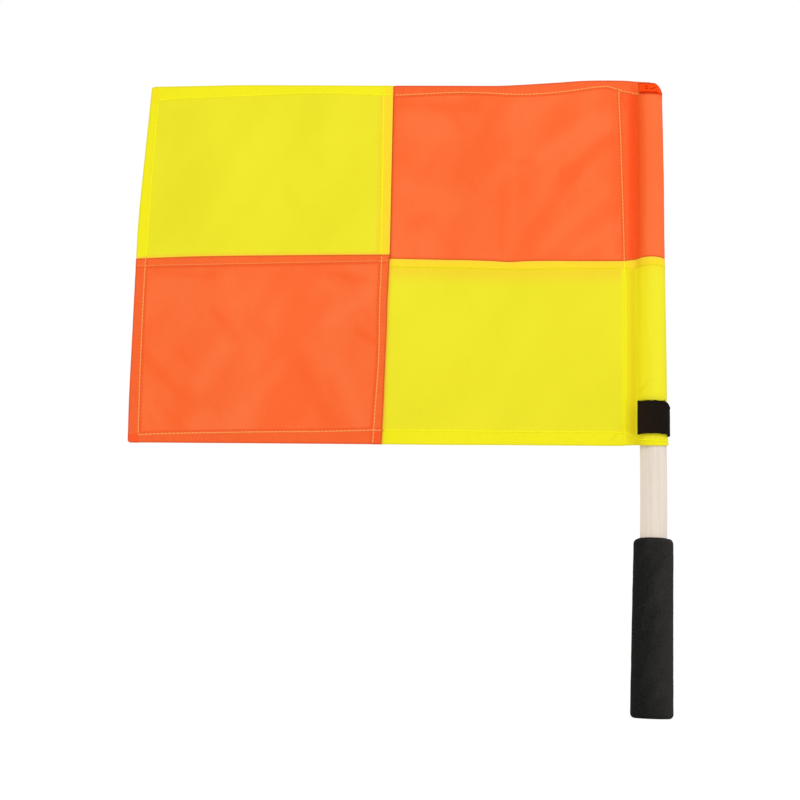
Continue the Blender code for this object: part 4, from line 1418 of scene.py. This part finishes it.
black_thread = thread_finish("black_thread", paint(60, 54, 52), paint(40, 35, 33))
box = []
for (first, low), (last, high) in zip(BOX, (*BOX[1:], BOX[0])):
    for k in range(24):
        share, up = tape_share(blend(first, last, k / 24)), blend(low, high, k / 24)
        box.append(on_tape(share, up, TAPE / 2 + 0.00005))
box_stitches = add_stitches("strap_box_stitches", black_thread, [box])
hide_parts("strap_thread")
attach(box_stitches, "sleeve")

# Loop patch
# Soft loops knitted on their own short tape, which is sewn flat to the sleeve's front. The strap's hooks
# hold on to them.
LOOP_PITCH = 0.0008
LOOP_REACH = (-38, -137)
LOOP_RADIUS = 0.01165
LOOP_TAPE = 0.0004
LOOP_SIZE = 0.0003
LOOP_YARN = 0.00005
LOOP_FOOT = STRAP_FOOT + 0.0015
LOOP_HEAD = STRAP_HEAD - 0.0015

pile = Finish("black_loop_pile", Roughness=0.9, Specular_IOR_Level=0.1)
fuzz = pile.cloud(pile.place(), 2200.0, 3.0, 0.7)
pile.set("Base Color", pile.mix(fuzz.past(0.35, 0.7), paint(20, 17, 17), paint(44, 39, 38)))
pile.set("Roughness", 0.8 + fuzz * 0.18)
pile.bump(fuzz, 0.0003)
bm = bmesh.new()
bmesh.ops.create_grid(bm, x_segments=30, y_segments=24, size=0.5)
for vertex in bm.verts:
    around = math.radians(blend(*LOOP_REACH, vertex.co.x + 0.5))
    height = blend(LOOP_FOOT, LOOP_HEAD, vertex.co.y + 0.5)
    vertex.co = (LOOP_RADIUS * math.cos(around), LOOP_RADIUS * math.sin(around), height)
patch_tape = add_piece("loop_patch", bm, pile)
give_wall(patch_tape, LOOP_TAPE)
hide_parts("strap_loop_patch")

bm = bmesh.new()
ring = bmesh.ops.create_circle(
    bm, segments=4, radius=LOOP_YARN, matrix=Matrix.Translation((LOOP_SIZE, 0, 0))
)["verts"]
bmesh.ops.spin(
    bm, geom=ring + list(bm.edges), cent=(0, 0, 0), axis=(0, 1, 0), angle=-math.pi, steps=5
)
bmesh.ops.recalc_face_normals(bm, faces=bm.faces)
loop = as_mesh("loop", bm)
places = []
top = LOOP_RADIUS + LOOP_TAPE / 2
across = round((LOOP_HEAD - LOOP_FOOT) / LOOP_PITCH)
along = round(math.radians(LOOP_REACH[0] - LOOP_REACH[1]) * top / LOOP_PITCH)
for i in range(along):
    for j in range(across):
        around = math.radians(blend(*LOOP_REACH, (i + 0.5) / along))
        height = blend(LOOP_FOOT, LOOP_HEAD, (j + 0.5) / across)
        outward = Vector((math.cos(around), math.sin(around), 0))
        root = outward * (top - 0.00004) + Vector((0, 0, height))
        spin = Matrix.Rotation(math.pi / 2 + noise.noise(Vector((i * 0.9, j * 0.9, 2.0))), 4, "Z")
        places.append(Matrix.Translation(root) @ turn_to(outward) @ spin)
loops = add_pile("loop_pile", loop, places, pile)
for piece in (patch_tape, loops):
    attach(piece, "sleeve")

# Floor and light
# A plain pale floor, on which the flag's grip stands, and soft white light from the front and the upper
# right. Floor and sky look white to the camera and in gloss, and light the flag at a plain level.
FLOOR = -0.0656
FLOOR_GLOW = 1.05
FLOOR_GLOW_SHARE = 0.9
LAMP_AT = (0.9, -2.2, 1.9)
LAMP_AIM = (-0.15, 0, 0.25)
LAMP_SIZE = 2.2
LAMP_POWER = 27.0
WORLD_LIGHT = 0.78
bm = bmesh.new()
bmesh.ops.create_grid(bm, x_segments=1, y_segments=1, size=60, matrix=Matrix.Translation((0, 0, FLOOR)))
pale = Finish("pale_floor", Roughness=0.9)
pale.set("Base Color", paint(240, 240, 240))
floor = add_piece("floor", bm, pale)


def seen_directly(nodes):
    """1 for a ray from the camera, also mirrored or let through, and 0 for light that falls on the flag."""
    outputs = nodes.node("ShaderNodeLightPath").socket.node.outputs
    rays = [Signal(nodes, outputs[f"Is {kind} Ray"]) for kind in ("Camera", "Glossy", "Transmission")]
    most = {"operation": "MAXIMUM"}
    return nodes.node("ShaderNodeMath", most, [nodes.node("ShaderNodeMath", most, rays[:2]), rays[2]])


glow = pale.node("ShaderNodeEmission", {}, {"Color": (1, 1, 1, 1), "Strength": FLOOR_GLOW})
lit = Signal(pale, pale.shader.outputs[0])
shown = pale.node("ShaderNodeMixShader", {}, [seen_directly(pale) * FLOOR_GLOW_SHARE, lit, glow])
pale.join(pale.tree.nodes["Material Output"].inputs["Surface"], shown)

world = bpy.data.worlds.new("studio")
bpy.context.scene.world = world
sky = Nodes(world)
background = sky.tree.nodes["Background"]
sky.join(background.inputs["Color"], (1, 1, 1, 1))
sky.join(background.inputs["Strength"], WORLD_LIGHT + seen_directly(sky) * (1 - WORLD_LIGHT))

lamp_data = bpy.data.lights.new("softbox", "AREA")
lamp_data.size = LAMP_SIZE
lamp_data.energy = LAMP_POWER
lamp = bpy.data.objects.new("softbox", lamp_data)
bpy.context.collection.objects.link(lamp)
lamp.location = LAMP_AT
lamp.rotation_euler = (Vector(LAMP_AIM) - Vector(LAMP_AT)).to_track_quat("-Z", "Y").to_euler()

bpy.context.scene.view_settings.view_transform = "Standard"
